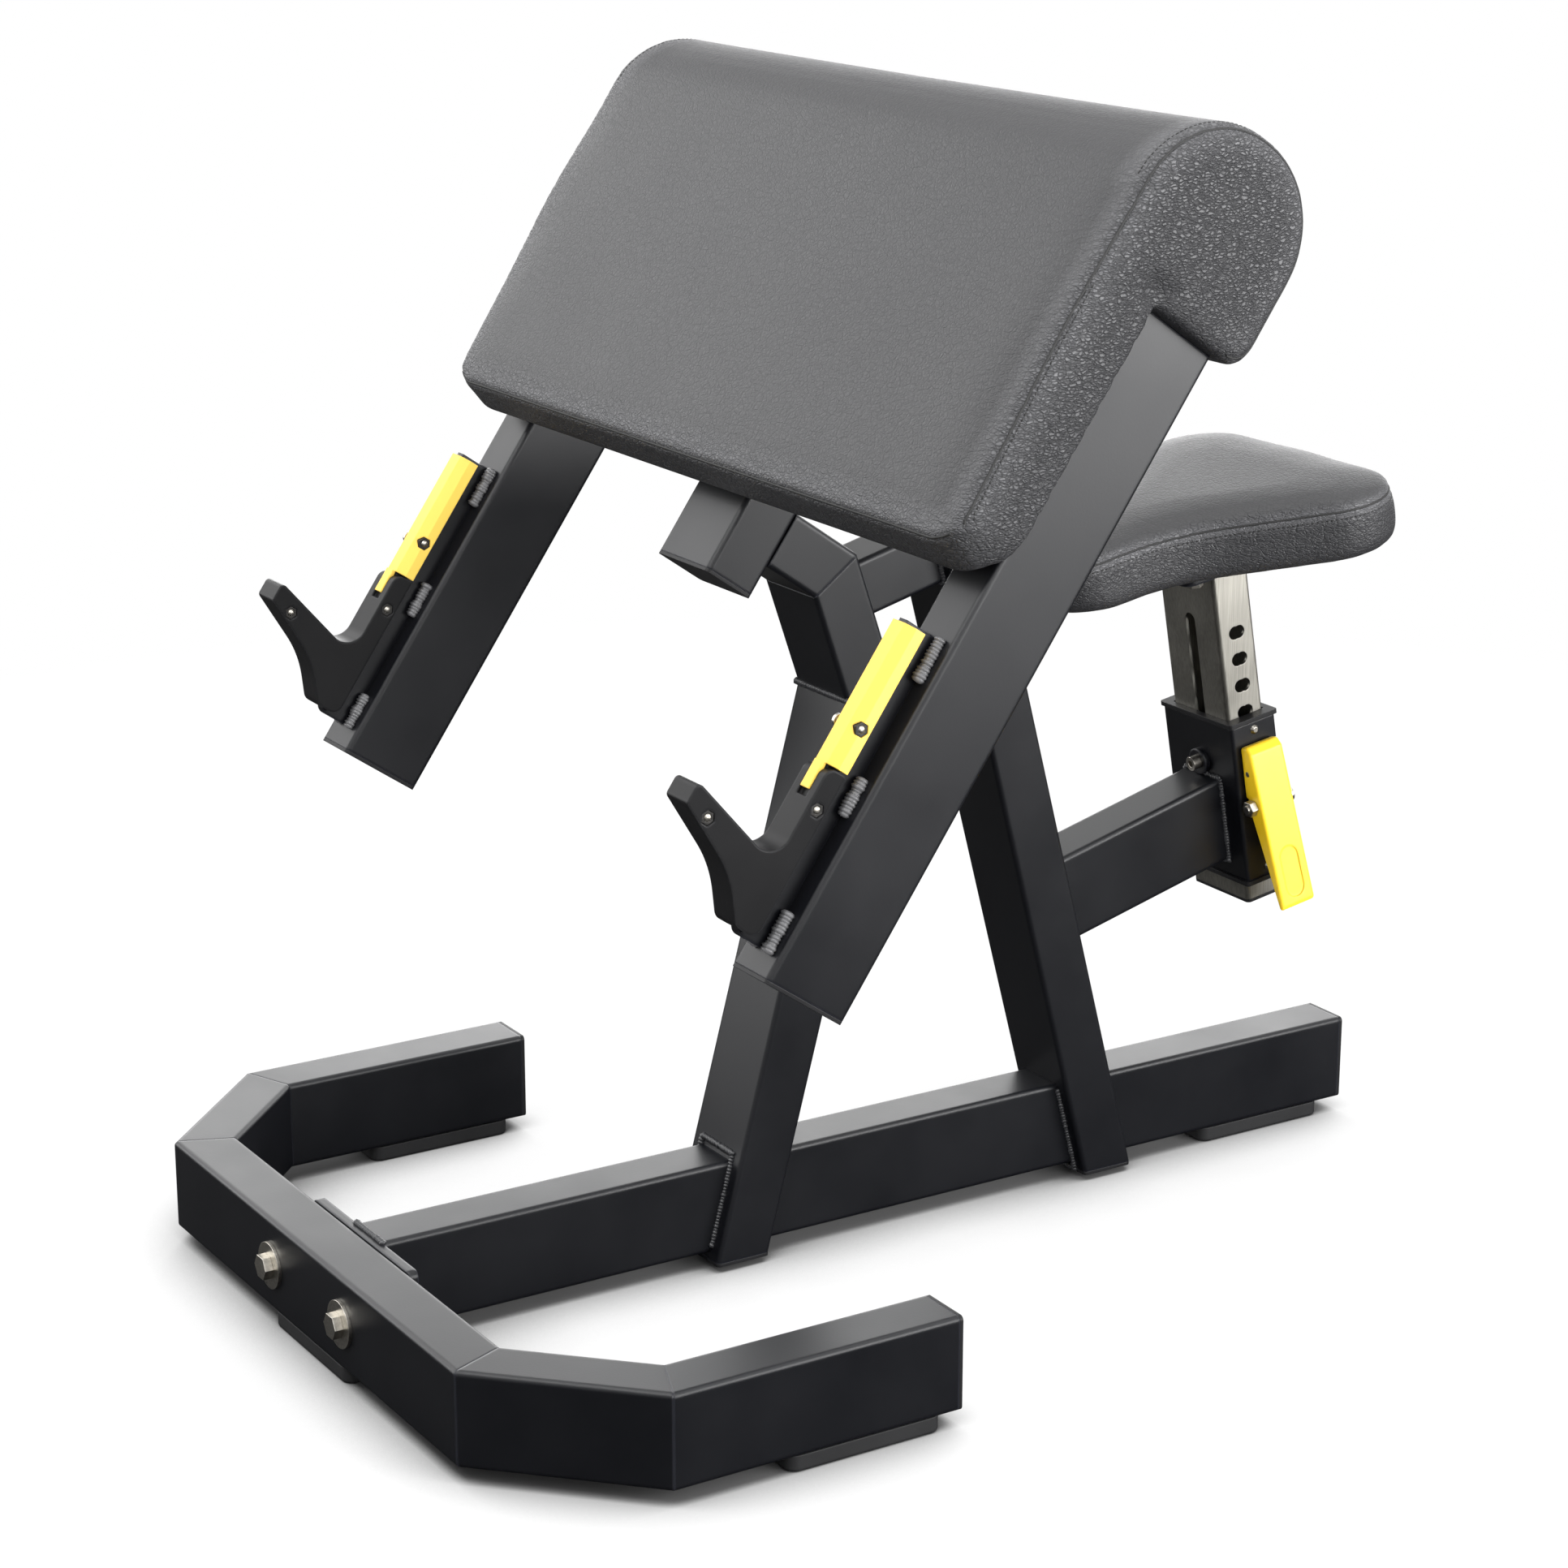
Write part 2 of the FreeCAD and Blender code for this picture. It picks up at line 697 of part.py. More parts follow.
def base():
    """U-shaped foot frame, spine and the bolted joint between them."""
    def mirrored(vector, way):
        return Vector(way * vector.x, vector.y, vector.z)

    stock = tube("cross", "tube_wide", "tube_tall", "cross_stock",
                 run_at(Vector(-size.cross_stock / 2, front_corner.y, spine_mid), 0, -90))
    front_turn = unit(X_AXIS + diagonal)
    side_turn = unit(diagonal + Y_AXIS)
    tools = [saw(f"cross_miter_{label}", mirrored(front_corner, way), mirrored(front_turn, way))
             for label, way in SIDES.items()]
    for x in (-size.bolt_spacing / 2, size.bolt_spacing / 2):
        tools.append(rod("cross_hole", "bolt_hole", "through_tube",
                         shift(x, front_y - size.stock_spare, spine_mid), Y_AXIS))
    part(cut("cross", stock, *tools), "front_cross_tube")

    for label, way in SIDES.items():
        heading = -45 * way
        start = front_corner - diagonal * size.stock_spare
        stock = tube(f"{label}_corner", "tube_wide", "tube_tall", "corner_stock",
                     run_at(mirrored(start, way), 0, heading))
        front_cut = saw(f"{label}_corner_front", mirrored(front_corner, way), mirrored(-front_turn, way))
        side_cut = saw(f"{label}_corner_side", mirrored(side_corner, way), mirrored(side_turn, way))
        part(cut(f"{label}_corner", stock, front_cut, side_cut), f"{label}_corner_tube")
        stock = tube(f"{label}_leg", "tube_wide", "tube_tall", "leg_stock",
                     run_at(mirrored(side_corner - Y_AXIS * size.stock_spare, way), 0))
        leg_cut = saw(f"{label}_leg_miter", mirrored(side_corner, way), mirrored(-side_turn, way))
        part(cut(f"{label}_leg", stock, leg_cut), f"{label}_leg_tube")
    flange_joint()


def flange_joint():
    """Plate welded to the spine's front end, with its bolts, washers and nuts."""
    holes = [rod("flange_hole", "bolt_hole", "through_tube",
                 shift(x, front_y - size.stock_spare, spine_mid), Y_AXIS)
             for x in (-size.bolt_spacing / 2, size.bolt_spacing / 2)]
    plate = slab("flange", "XZ_Plane",
                 rectangle_corners(size.flange_width, size.tube_tall, size.flange_corner),
                 "flange_thick", both_ways=False, flip=True)
    plate.Placement = shift(0, front_y + size.tube_wide, spine_mid)
    part(cut("flange", plate, *holes), "spine_flange")

    bolts, washers, nuts = [], [], []
    for x in (-size.bolt_spacing / 2, size.bolt_spacing / 2):
        face = shift(x, front_y, spine_mid)
        under_head = face * shift(0, -size.washer_thick)
        head = hexagon("bolt_head", "bolt_flats", "bolt_head",
                       under_head * shift(0, -size.bolt_head), Y_AXIS)
        shank = rod("bolt_shank", "bolt_dia", "bolt_reach", under_head, Y_AXIS)
        bolts.append(fuse("bolt", head, shank))
        disc = rod("washer_disc", "washer_dia", "washer_thick", under_head, Y_AXIS)
        washers.append(cut("washer", disc, rod("washer_bore", "bolt_hole", "through_tube",
                                               under_head * shift(0, -size.stock_spare), Y_AXIS)))
        seat = face * shift(0, size.tube_wide + size.flange_thick)
        nut = hexagon("nut_block", "bolt_flats", "nut_thick", seat, Y_AXIS)
        nuts.append(cut("nut", nut, rod("nut_bore", "bolt_dia", "through_tube",
                                        seat * shift(0, -size.stock_spare), Y_AXIS)))
    part(group("flange_bolts", bolts), "flange_bolts")
    part(group("flange_washers", washers), "flange_washers")
    part(group("flange_nuts", nuts), "flange_nuts")


def foot(name, centre, heading):
    """Rubber pad with rounded corners, under a tube."""
    pad = slab(name, "XY_Plane", rectangle_corners(size.foot_width, size.foot_length, size.foot_corner),
               "foot_thick", both_ways=False)
    fillet(pad, "foot_edge", lambda edge: all(abs(vertex.Z) < 1e-6 for vertex in edge.Vertexes))
    pad.Placement = Placement(centre, Rotation(Z_AXIS, heading))
    return pad


def feet():
    """Pads under the cross tube, the legs and the spine's rear end."""
    part(foot("front_pad", side_point(size.tube_wide / 2, 0), 90), "front_foot")
    leg_y = size.leg_reach - size.leg_foot_inset - size.foot_length / 2
    pads = [foot(f"{label}_pad", side_point(leg_y, 0, way * leg_end.x), 0) for label, way in SIDES.items()]
    part(group("leg_feet", pads), "leg_feet")
    rear_y = size.frame_length - size.rear_foot_inset - size.foot_length / 2
    part(foot("rear_pad", side_point(rear_y, 0), 0), "rear_foot")


# Uprights

def uprights():
    """Two leaning posts through the spine, the cranked elbow, the strut and the spine's three lengths."""
    low = size.stock_spare + size.tube_tall

    stock = tube("front_post", "tube_tall", "tube_wide", "front_post_stock",
                 run_at(front_foot_point - front_up * low, angle_of(front_up)))
    floor_cut = saw("front_post_floor", Vector(0, front_foot_point.y, size.post_bottom), -Z_AXIS)
    part(cut("front_post", stock, floor_cut, saw("front_post_knee", knee, unit(front_up + elbow_up))),
         "front_post")

    stock = tube("elbow_low", "tube_tall", "tube_wide", "elbow_low_stock",
                 run_at(knee - elbow_up * size.stock_spare, angle_of(elbow_up)))
    part(cut("elbow_low", stock, saw("elbow_low_knee", knee, -unit(front_up + elbow_up)),
             saw("elbow_low_bend", bend, unit(elbow_up + arm_out))), "elbow_lower")

    stock = tube("elbow_top", "tube_tall", "tube_wide", "elbow_top_stock",
                 run_at(bend - arm_out * size.stock_spare, angle_of(arm_out)))
    part(cut("elbow_top", stock, saw("elbow_top_bend", bend, -unit(elbow_up + arm_out))), "elbow_upper")

    stock = tube("rear_post", "tube_tall", "tube_wide", "rear_post_stock",
                 run_at(rear_foot_point - rear_up * low, angle_of(rear_up)))
    floor_cut = saw("rear_post_floor", Vector(0, rear_foot_point.y, size.post_bottom), -Z_AXIS)
    part(cut("rear_post", stock, floor_cut), "rear_post")

    stock = tube("strut", "tube_wide", "strut_tall", "strut_stock",
                 run_at(strut_start - strut_way * size.stock_spare, angle_of(strut_way)))
    elbow_face = saw("strut_elbow", strut_start + rearward(elbow_up) * half_tube, -rearward(elbow_up))
    part(cut("strut", stock, elbow_face), "top_strut")
    spine()


def spine():
    """Three lengths of tube, cut against the flange and the faces of both posts."""
    front_back, rear_back = rearward(front_up), rearward(rear_up)
    lengths = {
        "spine_front": (side_point(size.tube_wide + size.flange_thick, spine_mid),
                        [(front_foot_point - front_back * half_tube, front_back)]),
        "spine_middle": (front_foot_point, [(front_foot_point + front_back * half_tube, -front_back),
                                            (rear_foot_point - rear_back * half_tube, rear_back)]),
        "spine_rear": (rear_foot_point, [(rear_foot_point + rear_back * half_tube, -rear_back)]),
    }
    for label, (start, planes) in lengths.items():
        stock = tube(label, "tube_wide", "tube_tall", label + "_stock", run_at(start, 0))
        tools = [saw(f"{label}_saw", point, normal) for point, normal in planes]
        part(cut(label, stock, *tools), label + "_tube")


# Arms

def arms():
    """Two side arms and a short centre arm that share one top plane, with the crossbars between them."""
    for label, way in SIDES.items():
        x = way * arm_spread
        start = arm_at.multVec(Vector(x, 0, -size.tube_tall / 2))
        stock = tube(f"{label}_arm", "tube_wide", "tube_tall", "arm_length", run_at(start, size.arm_slope))
        holes = [rod("arm_hole", "pad_bolt_hole", "bolt_through",
                     arm_at * shift(x, up, -size.tube_tall - size.stock_spare))
                 for up in (size.pad_bolt_low, size.pad_bolt_high)]
        part(cut(f"{label}_arm", stock, *holes), f"{label}_arm")
    start = arm_at.multVec(Vector(0, size.centre_arm_low, -size.tube_wide / 2))
    part(tube("centre", "tube_tall", "tube_wide", "centre_arm_length", run_at(start, size.arm_slope)),
         "centre_arm")
    for label, way in SIDES.items():
        start_x = size.tube_tall / 2 if way > 0 else -size.tube_tall / 2 - size.crossbar_length
        place = arm_at * shift(start_x, size.crossbar_at, -size.crossbar_tall / 2) * turn(Y_AXIS, 90)
        part(tube(f"{label}_bar", "crossbar_tall", "crossbar_tall", "crossbar_length", place),
             f"{label}_crossbar")


def end_caps():
    """Caps that close every open tube end: alike on the frame tube, and cut level under the posts."""
    spine_end = run_at(side_point(size.frame_length, spine_mid), 0)
    rear_top = rear_face + rearward(rear_up) * half_tube + rear_up * rear_length
    places = [run_at(side_point(size.leg_reach, spine_mid, way * leg_end.x), 0) for way in SIDES.values()]
    places.append(spine_end)
    down_arm = size.arm_slope + 180
    places += [run_at(arm_at.multVec(Vector(way * arm_spread, 0, -size.tube_tall / 2)), down_arm)
               for way in SIDES.values()]
    upright = [end_cap("cap", "tube_wide", "tube_tall", place) for place in places]
    centre_low = arm_at.multVec(Vector(0, size.centre_arm_low, -size.tube_wide / 2))
    flat = [end_cap("flat_cap", "tube_tall", "tube_wide", run_at(centre_low, down_arm)),
            end_cap("flat_cap", "tube_tall", "tube_wide", run_at(rear_top, angle_of(rear_up)))]
    part(group("tube_end_caps", upright + flat), "tube_end_caps")

    plates = []
    for foot_point, up in ((front_foot_point, front_up), (rear_foot_point, rear_up)):
        middle = foot_point - up * ((foot_point.z - size.post_bottom) / up.z)
        plate = slab("post_cap", "XY_Plane",
                     rectangle_corners(size.tube_tall, size.post_cap_deep, size.tube_corner), "cap_thick",
                     both_ways=False, flip=True)
        plate.Placement = Placement(middle, Rotation())
        plates.append(plate)
    part(group("post_bottom_caps", plates), "post_bottom_caps")


# Bar hooks

cover_corners = [
    (size.cover_low, size.cover_back, size.cover_round),
    (size.cover_top, size.cover_back, size.cover_top_round),
    (size.cover_top, size.cradle_wall, size.cover_round),
    (size.cradle_floor, size.cradle_wall, size.cradle_radius),
    (size.tip_low + size.tip_thick, size.tip_reach, size.tip_round),
    (size.tip_low, size.tip_reach, size.tip_round),
    (size.waist_up, size.waist_out, size.waist_radius),
    (size.cover_low, size.cover_heel, size.cover_round),
]


def hook_hardware(place):
    """Screws of one hook, and the tools that make room for them."""
    spots = [(size.tip_screw_up, size.tip_screw_out), (size.wall_screw_up, size.side_screw_out),
             (size.guard_screw_up, size.side_screw_out)]
    screws, nuts, holes, pockets = [], [], [], []
    half = size.cover_wide / 2
    for up, out in spots:
        spot = place * shift(0, up, out)
        shank = rod("hook_shank", "hook_screw_dia", "hook_shank_length", spot * shift(-half), X_AXIS)
        head = rod("hook_head", "screw_head_dia", "screw_head_thick",
                   spot * shift(-half - size.screw_head_thick), X_AXIS)
        screws.append(fuse("hook_screw", shank, head))
        seat = spot * shift(half - size.hook_nut_sunk - size.hook_nut_thick)
        block = hexagon("hook_nut_block", "hook_nut_flats", "hook_nut_thick", seat, X_AXIS)
        nuts.append(cut("hook_nut", block, rod("hook_nut_bore", "hook_screw_dia", "cover_wide",
                                               spot * shift(-half / 2), X_AXIS)))
        holes.append(rod("hook_hole", "hook_hole_dia", "cover_wide", spot * shift(-half), X_AXIS))
        pockets.append(hexagon("hook_pocket", "nut_pocket_flats", "cover_wide", seat, X_AXIS))
    return screws, nuts, holes, pockets


def hooks():
    """Steel hook plate welded to each arm, its J-shaped liner and the guard above the cradle."""
    skin, reveal = size.cover_skin, size.edge_reveal
    plate_hook = moved_corners(cover_corners, [0, skin, skin, skin, skin, reveal, reveal, reveal])
    strip_top = size.cradle_wall - skin
    strip = [(size.hook_start, 0, 0), (size.hook_end, 0, 0), (size.hook_end, strip_top, 0),
             (size.hook_start, strip_top, size.cover_round)]
    half_guard = size.cover_wide / 2
    guard_section = [(-half_guard, size.cover_back, 0), (half_guard, size.cover_back, 0),
                     (half_guard, size.guard_top - size.guard_chamfer, size.guard_corner),
                     (half_guard - size.guard_chamfer, size.guard_top, size.guard_round),
                     (-half_guard + size.guard_chamfer, size.guard_top, size.guard_round),
                     (-half_guard, size.guard_top - size.guard_chamfer, size.guard_corner)]
    tongue_mid = size.cradle_wall + size.tongue_proud - size.tongue_thick / 2
    tongue_section = rectangle_corners(size.tongue_wide, size.tongue_thick, size.guard_corner, 0, tongue_mid)
    all_screws, all_nuts = [], []
    for label, way in SIDES.items():
        place = arm_at * shift(way * arm_spread)
        screws, nuts, holes, pockets = hook_hardware(place)
        all_screws += screws
        all_nuts += nuts

        plate = fuse(f"{label}_plate_blank", slab(f"{label}_strip", "YZ_Plane", strip, "plate_thick"),
                     slab(f"{label}_hook", "YZ_Plane", plate_hook, "plate_thick"))
        plate.Placement = place
        plate = part(cut(f"{label}_plate", plate, *holes), f"{label}_hook_plate")

        cover = slab(f"{label}_cover", "YZ_Plane", cover_corners, "cover_wide")
        cover.Placement = place
        groove = box(f"{label}_groove", "groove_wide", "groove_long", "groove_open",
                     place * shift(0, size.cover_top - size.groove_long / 2,
                                   size.cradle_wall + size.tongue_proud - tongue_groove))
        part(cut(f"{label}_cover", cover, copy_of(f"{label}_plate_in_cover", plate), groove,
                 holes[0], holes[1], pockets[0], pockets[1]), f"{label}_hook_cover")

        guard = slab(f"{label}_guard", "XZ_Plane", guard_section, "guard_length",
                     both_ways=False, flip=True)
        tongue = slab(f"{label}_tongue", "XZ_Plane", tongue_section, "tongue_length", both_ways=False)
        guard = fuse(f"{label}_guard_blank", guard, tongue)
        guard.Placement = place * shift(0, size.cover_top + size.guard_gap)
        part(cut(f"{label}_guard", guard, copy_of(f"{label}_plate_in_guard", plate), holes[2], pockets[2]),
             f"{label}_hook_guard")
    part(group("hook_screws", all_screws), "hook_screws")
    part(group("hook_nuts", all_nuts), "hook_nuts")


# Arm pad

def arm_pad():
    """Cushion whose top rolls over the arms' upper ends, on two boards bolted to the arms."""
    roll_low = size.arm_length
    middle = (size.pad_low + size.roll_top) / 2
    board = box("pad_board", "board_width", "board_length", "board_thick",
                arm_at * shift(0, size.arm_length - size.board_length / 2))
    roll_board = box("roll_board", "board_width", "board_thick", "roll_board_deep",
                     arm_at * shift(0, size.arm_length + size.board_thick / 2,
                                    size.board_thick - size.roll_board_deep))
    bolts, holes = [], []
    for way in SIDES.values():
        for up in (size.pad_bolt_low, size.pad_bolt_high):
            seat = arm_at * shift(way * arm_spread, up, -size.tube_tall)
            shank = rod("pad_shank", "pad_bolt_dia", "pad_bolt_reach", seat)
            head = hexagon("pad_head", "pad_bolt_flats", "pad_bolt_head",
                           seat * shift(0, 0, -size.pad_bolt_head))
            bolts.append(fuse("pad_bolt", shank, head))
            holes.append(rod("board_hole", "pad_bolt_hole", "pad_bolt_reach", seat))
    profile = [
        (size.pad_low + size.pad_tuck, 0, size.pad_tuck_round),
        (roll_low, 0, 0),
        (roll_low, pad_back, size.roll_lip),
        (size.roll_top, pad_back, size.roll_radius),
        (size.roll_top, size.pad_thick, size.roll_radius),
        (middle, size.pad_thick + size.pad_crown, size.pad_bow),
        (size.pad_low + size.pad_nose, size.pad_thick, size.pad_shoulder),
        (size.pad_low, size.pad_nose, size.pad_nose),
    ]
    edge, corner = size.pad_edge, size.pad_corner
    drawn_in = [0, 0, edge, edge, edge, edge, corner, corner]
    ends = []
    for angle in QUARTER_ROUND:
        inset = 1 - math.sin(math.radians(angle))
        reach = pad_width / 2 - edge * (1 - math.cos(math.radians(angle)))
        ends.append((reach, moved_corners(profile, [inset * draw for draw in drawn_in])))
    sections = [(-reach, outline) for reach, outline in ends]
    sections += [(reach, outline) for reach, outline in reversed(ends)]
    cushion = layered("pad_form", "YZ_Plane", sections)
    cushion.Placement = arm_at
    part(cut("pad_board", board, *holes), "arm_pad_board")
    part(roll_board, "arm_pad_roll_board")
    part(cut("arm_pad", cushion, copy_of("board_in_pad", board), copy_of("roll_board_in_pad", roll_board)),
         "arm_pad")
    part(group("arm_pad_bolts", bolts), "arm_pad_bolts")


# Seat column: its own X is across, Y rearwards and Z up the post

def column():
    """Seat arm, sleeve with its bushings, and the guide screw that rides in the post's slot."""
    stock = tube("seat_arm", "tube_wide", "tube_tall", "seat_arm_stock",
                 run_at(seat_arm_start, angle_of(seat_arm_way)))
    part(cut("seat_arm", stock, saw("seat_arm_end", sleeve_front, sleeve_back)), "seat_arm_tube")

    sleeve = tube("sleeve_blank", "sleeve_wide", "sleeve_deep", "sleeve_length",
                  column_at * shift(0, 0, -size.sleeve_length / 2), corner="tube_wall")
    front = column_at * shift(0, -size.sleeve_deep / 2, size.guide_at)
    guide_hole = rod("guide_hole_tool", "guide_hole", "stock_spare",
                     front * shift(0, -size.stock_spare / 2), Y_AXIS)
    plunger_hole = rod("plunger_hole", "guide_bush_hole", "sleeve_wide",
                       column_at * shift(0, 0, size.plunger_at), X_AXIS)
    screws, screw_holes = bushing_screws()
    part(cut("sleeve", sleeve, guide_hole, plunger_hole, *screw_holes), "sleeve")
    part(group("bushing_screws", screws), "bushing_screws")
    bushing("sleeve_top_bushing", NEAR, screw_holes)
    bushing("sleeve_bottom_bushing", FAR, screw_holes)

    boss = rod("boss_disc", "boss_dia", "boss_thick", front * shift(0, -size.boss_thick), Y_AXIS)
    bore = rod("boss_bore", "guide_dia", "stock_spare", front * shift(0, -size.stock_spare / 2), Y_AXIS)
    part(cut("boss", boss, bore), "guide_boss")
    under_head = front * shift(0, -size.boss_thick)
    head_top = under_head * shift(0, -size.guide_head)
    head = rod("guide_head", "guide_head_dia", "guide_head", head_top, Y_AXIS)
    socket = hexagon("guide_socket", "guide_socket", "boss_thick", head_top, Y_AXIS)
    shank = rod("guide_shank", "guide_dia", "guide_reach", under_head, Y_AXIS)
    part(cut("guide_screw", fuse("guide_screw_blank", head, shank), socket), "guide_screw")


def bushing_screws():
    """One button screw near each end of the sleeve's lever side, and the holes for both."""
    screws, holes = [], []
    for end in (NEAR, FAR):
        along = end * (size.sleeve_length / 2 - size.bushing_screw_inset)
        face = column_at * shift(size.sleeve_wide / 2, 0, along)
        shank = rod("button_shank", "bushing_screw_dia", "bushing_screw_reach",
                    face * shift(-size.bushing_screw_reach), X_AXIS)
        dome = doc.addObject("Part::Cone", "button_head")
        dome.setExpression("Radius1", "params.bushing_screw_head / 2")
        dome.setExpression("Radius2", "params.bushing_screw_dia / 2")
        dome.setExpression("Height", "params.bushing_screw_dome")
        dome.Placement = face * Placement(Vector(), Rotation(Z_AXIS, X_AXIS))
        screws.append(fuse("button_screw", shank, dome))
        holes.append(rod("button_hole", "bushing_screw_dia", "bushing_screw_reach",
                         face * shift(-size.bushing_screw_reach), X_AXIS))
    return screws, holes


def bushing(label, end, screw_holes):
    """Plastic liner pushed into one end of the sleeve, with a flange over its rim."""
    bore_wide = size.post_wide + 2 * size.slide_clear
    bore_deep = size.post_deep + 2 * size.slide_clear
    lip = size.bushing_lip
    rim = rectangle_corners(size.sleeve_wide + 2 * lip, size.sleeve_deep + 2 * lip, size.tube_wall)
    skirt = rectangle_corners(size.sleeve_wide - 2 * size.tube_wall, size.sleeve_deep - 2 * size.tube_wall)
    flange = slab(label + "_rim", "XY_Plane", rim, "bushing_flange", both_ways=False)
    liner = slab(label + "_skirt", "XY_Plane", skirt, "bushing_depth", both_ways=False, flip=True)
    bore = slab(label + "_bore", "XY_Plane", rectangle_corners(bore_wide, bore_deep), "bore_height")
    blank = cut(label, fuse(label + "_blank", flange, liner), bore)
    facing = turn(X_AXIS, 0 if end > 0 else 180)
    blank.Placement = column_at * shift(0, 0, end * size.sleeve_length / 2) * facing
    part(cut(label + "_fixed", blank, *screw_holes), label)


def seat_post():
    """Bare tube with a column of double holes on the lever's side and a guide slot in front."""
    stock = tube("seat_post", "post_wide", "post_deep", "post_length",
                 column_at * shift(0, 0, size.post_low))
    tools = []
    first, last = -int(size.holes_below), int(size.holes_above)
    for step in range(first, last + 1):
        along = size.plunger_at + step * size.hole_pitch
        for lobe in (-size.hole_offset / 2, size.hole_offset / 2):
            tools.append(rod("lock_hole", "hole_dia", "hole_through",
                             column_at * shift(size.post_wide / 4, lobe, along), X_AXIS))
    slot = slab("slot", "XZ_Plane",
                rectangle_corners(size.slot_wide, size.slot_top - size.slot_low, size.slot_wide / 2, 0,
                                  (size.slot_top + size.slot_low) / 2), "post_deep", both_ways=False)
    slot.Placement = column_at
    part(cut("seat_post", stock, slot, *tools), "seat_post")
    plug_at = column_at * shift(0, 0, size.post_low) * turn(X_AXIS, 180)
    part(end_cap("post_plug", "post_wide", "post_deep", plug_at), "post_end_plug")


# Lever and locking plunger

def lever_face_out(along):
    """How far the lever's outer face stands from the column's axis, at a height along the column."""
    run = (size.lever_top - size.lever_lip - along) / (size.lever_top - size.lever_lip - size.lever_low)
    return size.sleeve_wide / 2 + size.lever_top_out + run * (size.lever_low_out - size.lever_top_out)


def lever():
    """Hollow rocker on a pivot bolt: squeezing its lower end draws the plunger out at its upper end."""
    face = sleeve_face
    inner = face + size.lever_gap
    notch = face + size.lever_notch_out
    top_face = size.lever_top - size.lever_lip
    foot = size.lever_low + size.lever_foot_rise
    outline = [
        (inner, size.lever_top - size.lever_tip_drop, size.lever_small_round),
        (face + size.lever_crest_out, size.lever_top, size.lever_round),
        (lever_face_out(top_face), top_face, size.lever_round),
        (lever_face_out(foot), foot, size.lever_round),
        (lever_face_out(size.lever_low) - size.lever_foot_back, size.lever_low, size.lever_small_round),
        (notch, -size.lever_notch, size.lever_round),
        (notch, size.lever_notch - size.lever_notch_step, size.lever_small_round),
        (inner, size.lever_notch, size.lever_small_round),
    ]
    body = slab("lever_blank", "XZ_Plane", outline, "lever_wide")
    rim = face + size.lever_rim_out
    half = size.lever_wide / 2

    def on_outer_rim(edge):
        ends = [vertex.Point for vertex in edge.Vertexes]
        return all(abs(abs(p.y) - half) < 1e-6 and p.x > rim for p in ends)

    fillet(body, "lever_edge", on_outer_rim)
    ceiling, floor = top_face - size.lever_face / 2, size.lever_low + 2 * size.lever_face
    hollow = slab("lever_hollow", "XZ_Plane", [
        (0, ceiling, 0), (lever_face_out(ceiling) - size.lever_face, ceiling, size.lever_small_round),
        (lever_face_out(floor) - size.lever_face, floor, size.lever_small_round), (0, floor, 0)],
        "lever_inside")
    pivot = shift(face + size.pivot_out, -size.lever_through / 2)
    pin = shift(face + size.pull_pin_out, -size.lever_through / 2, size.plunger_at)
    flare = size.lever_low_out - size.lever_top_out
    lean_angle = math.degrees(math.atan2(flare, top_face - size.lever_low))
    thumb_mid = size.lever_low + size.thumb_inset + size.thumb_long / 2
    thumb_corners = rectangle_corners(size.thumb_long, size.thumb_wide, size.thumb_wide / 2)
    thumb = slab("thumb_rest", "XY_Plane", thumb_corners, "thumb_deep_both")
    thumb.Placement = shift(lever_face_out(thumb_mid), 0, thumb_mid) * turn(Y_AXIS, 90 - lean_angle)
    for tool in (body, hollow, thumb):
        tool.Placement = column_at * tool.Placement
    pivot_hole = rod("lever_pivot_hole", "pivot_bore", "lever_through", column_at * pivot, Y_AXIS)
    pin_hole = rod("lever_pin_hole", "pull_pin_dia", "lever_through", column_at * pin, Y_AXIS)
    part(cut("lever", body, hollow, thumb, pivot_hole, pin_hole), "lever")
    part(rod("pull_pin", "pull_pin_dia", "lever_wide",
             column_at * shift(face + size.pull_pin_out, -half, size.plunger_at), Y_AXIS), "lever_pull_pin")


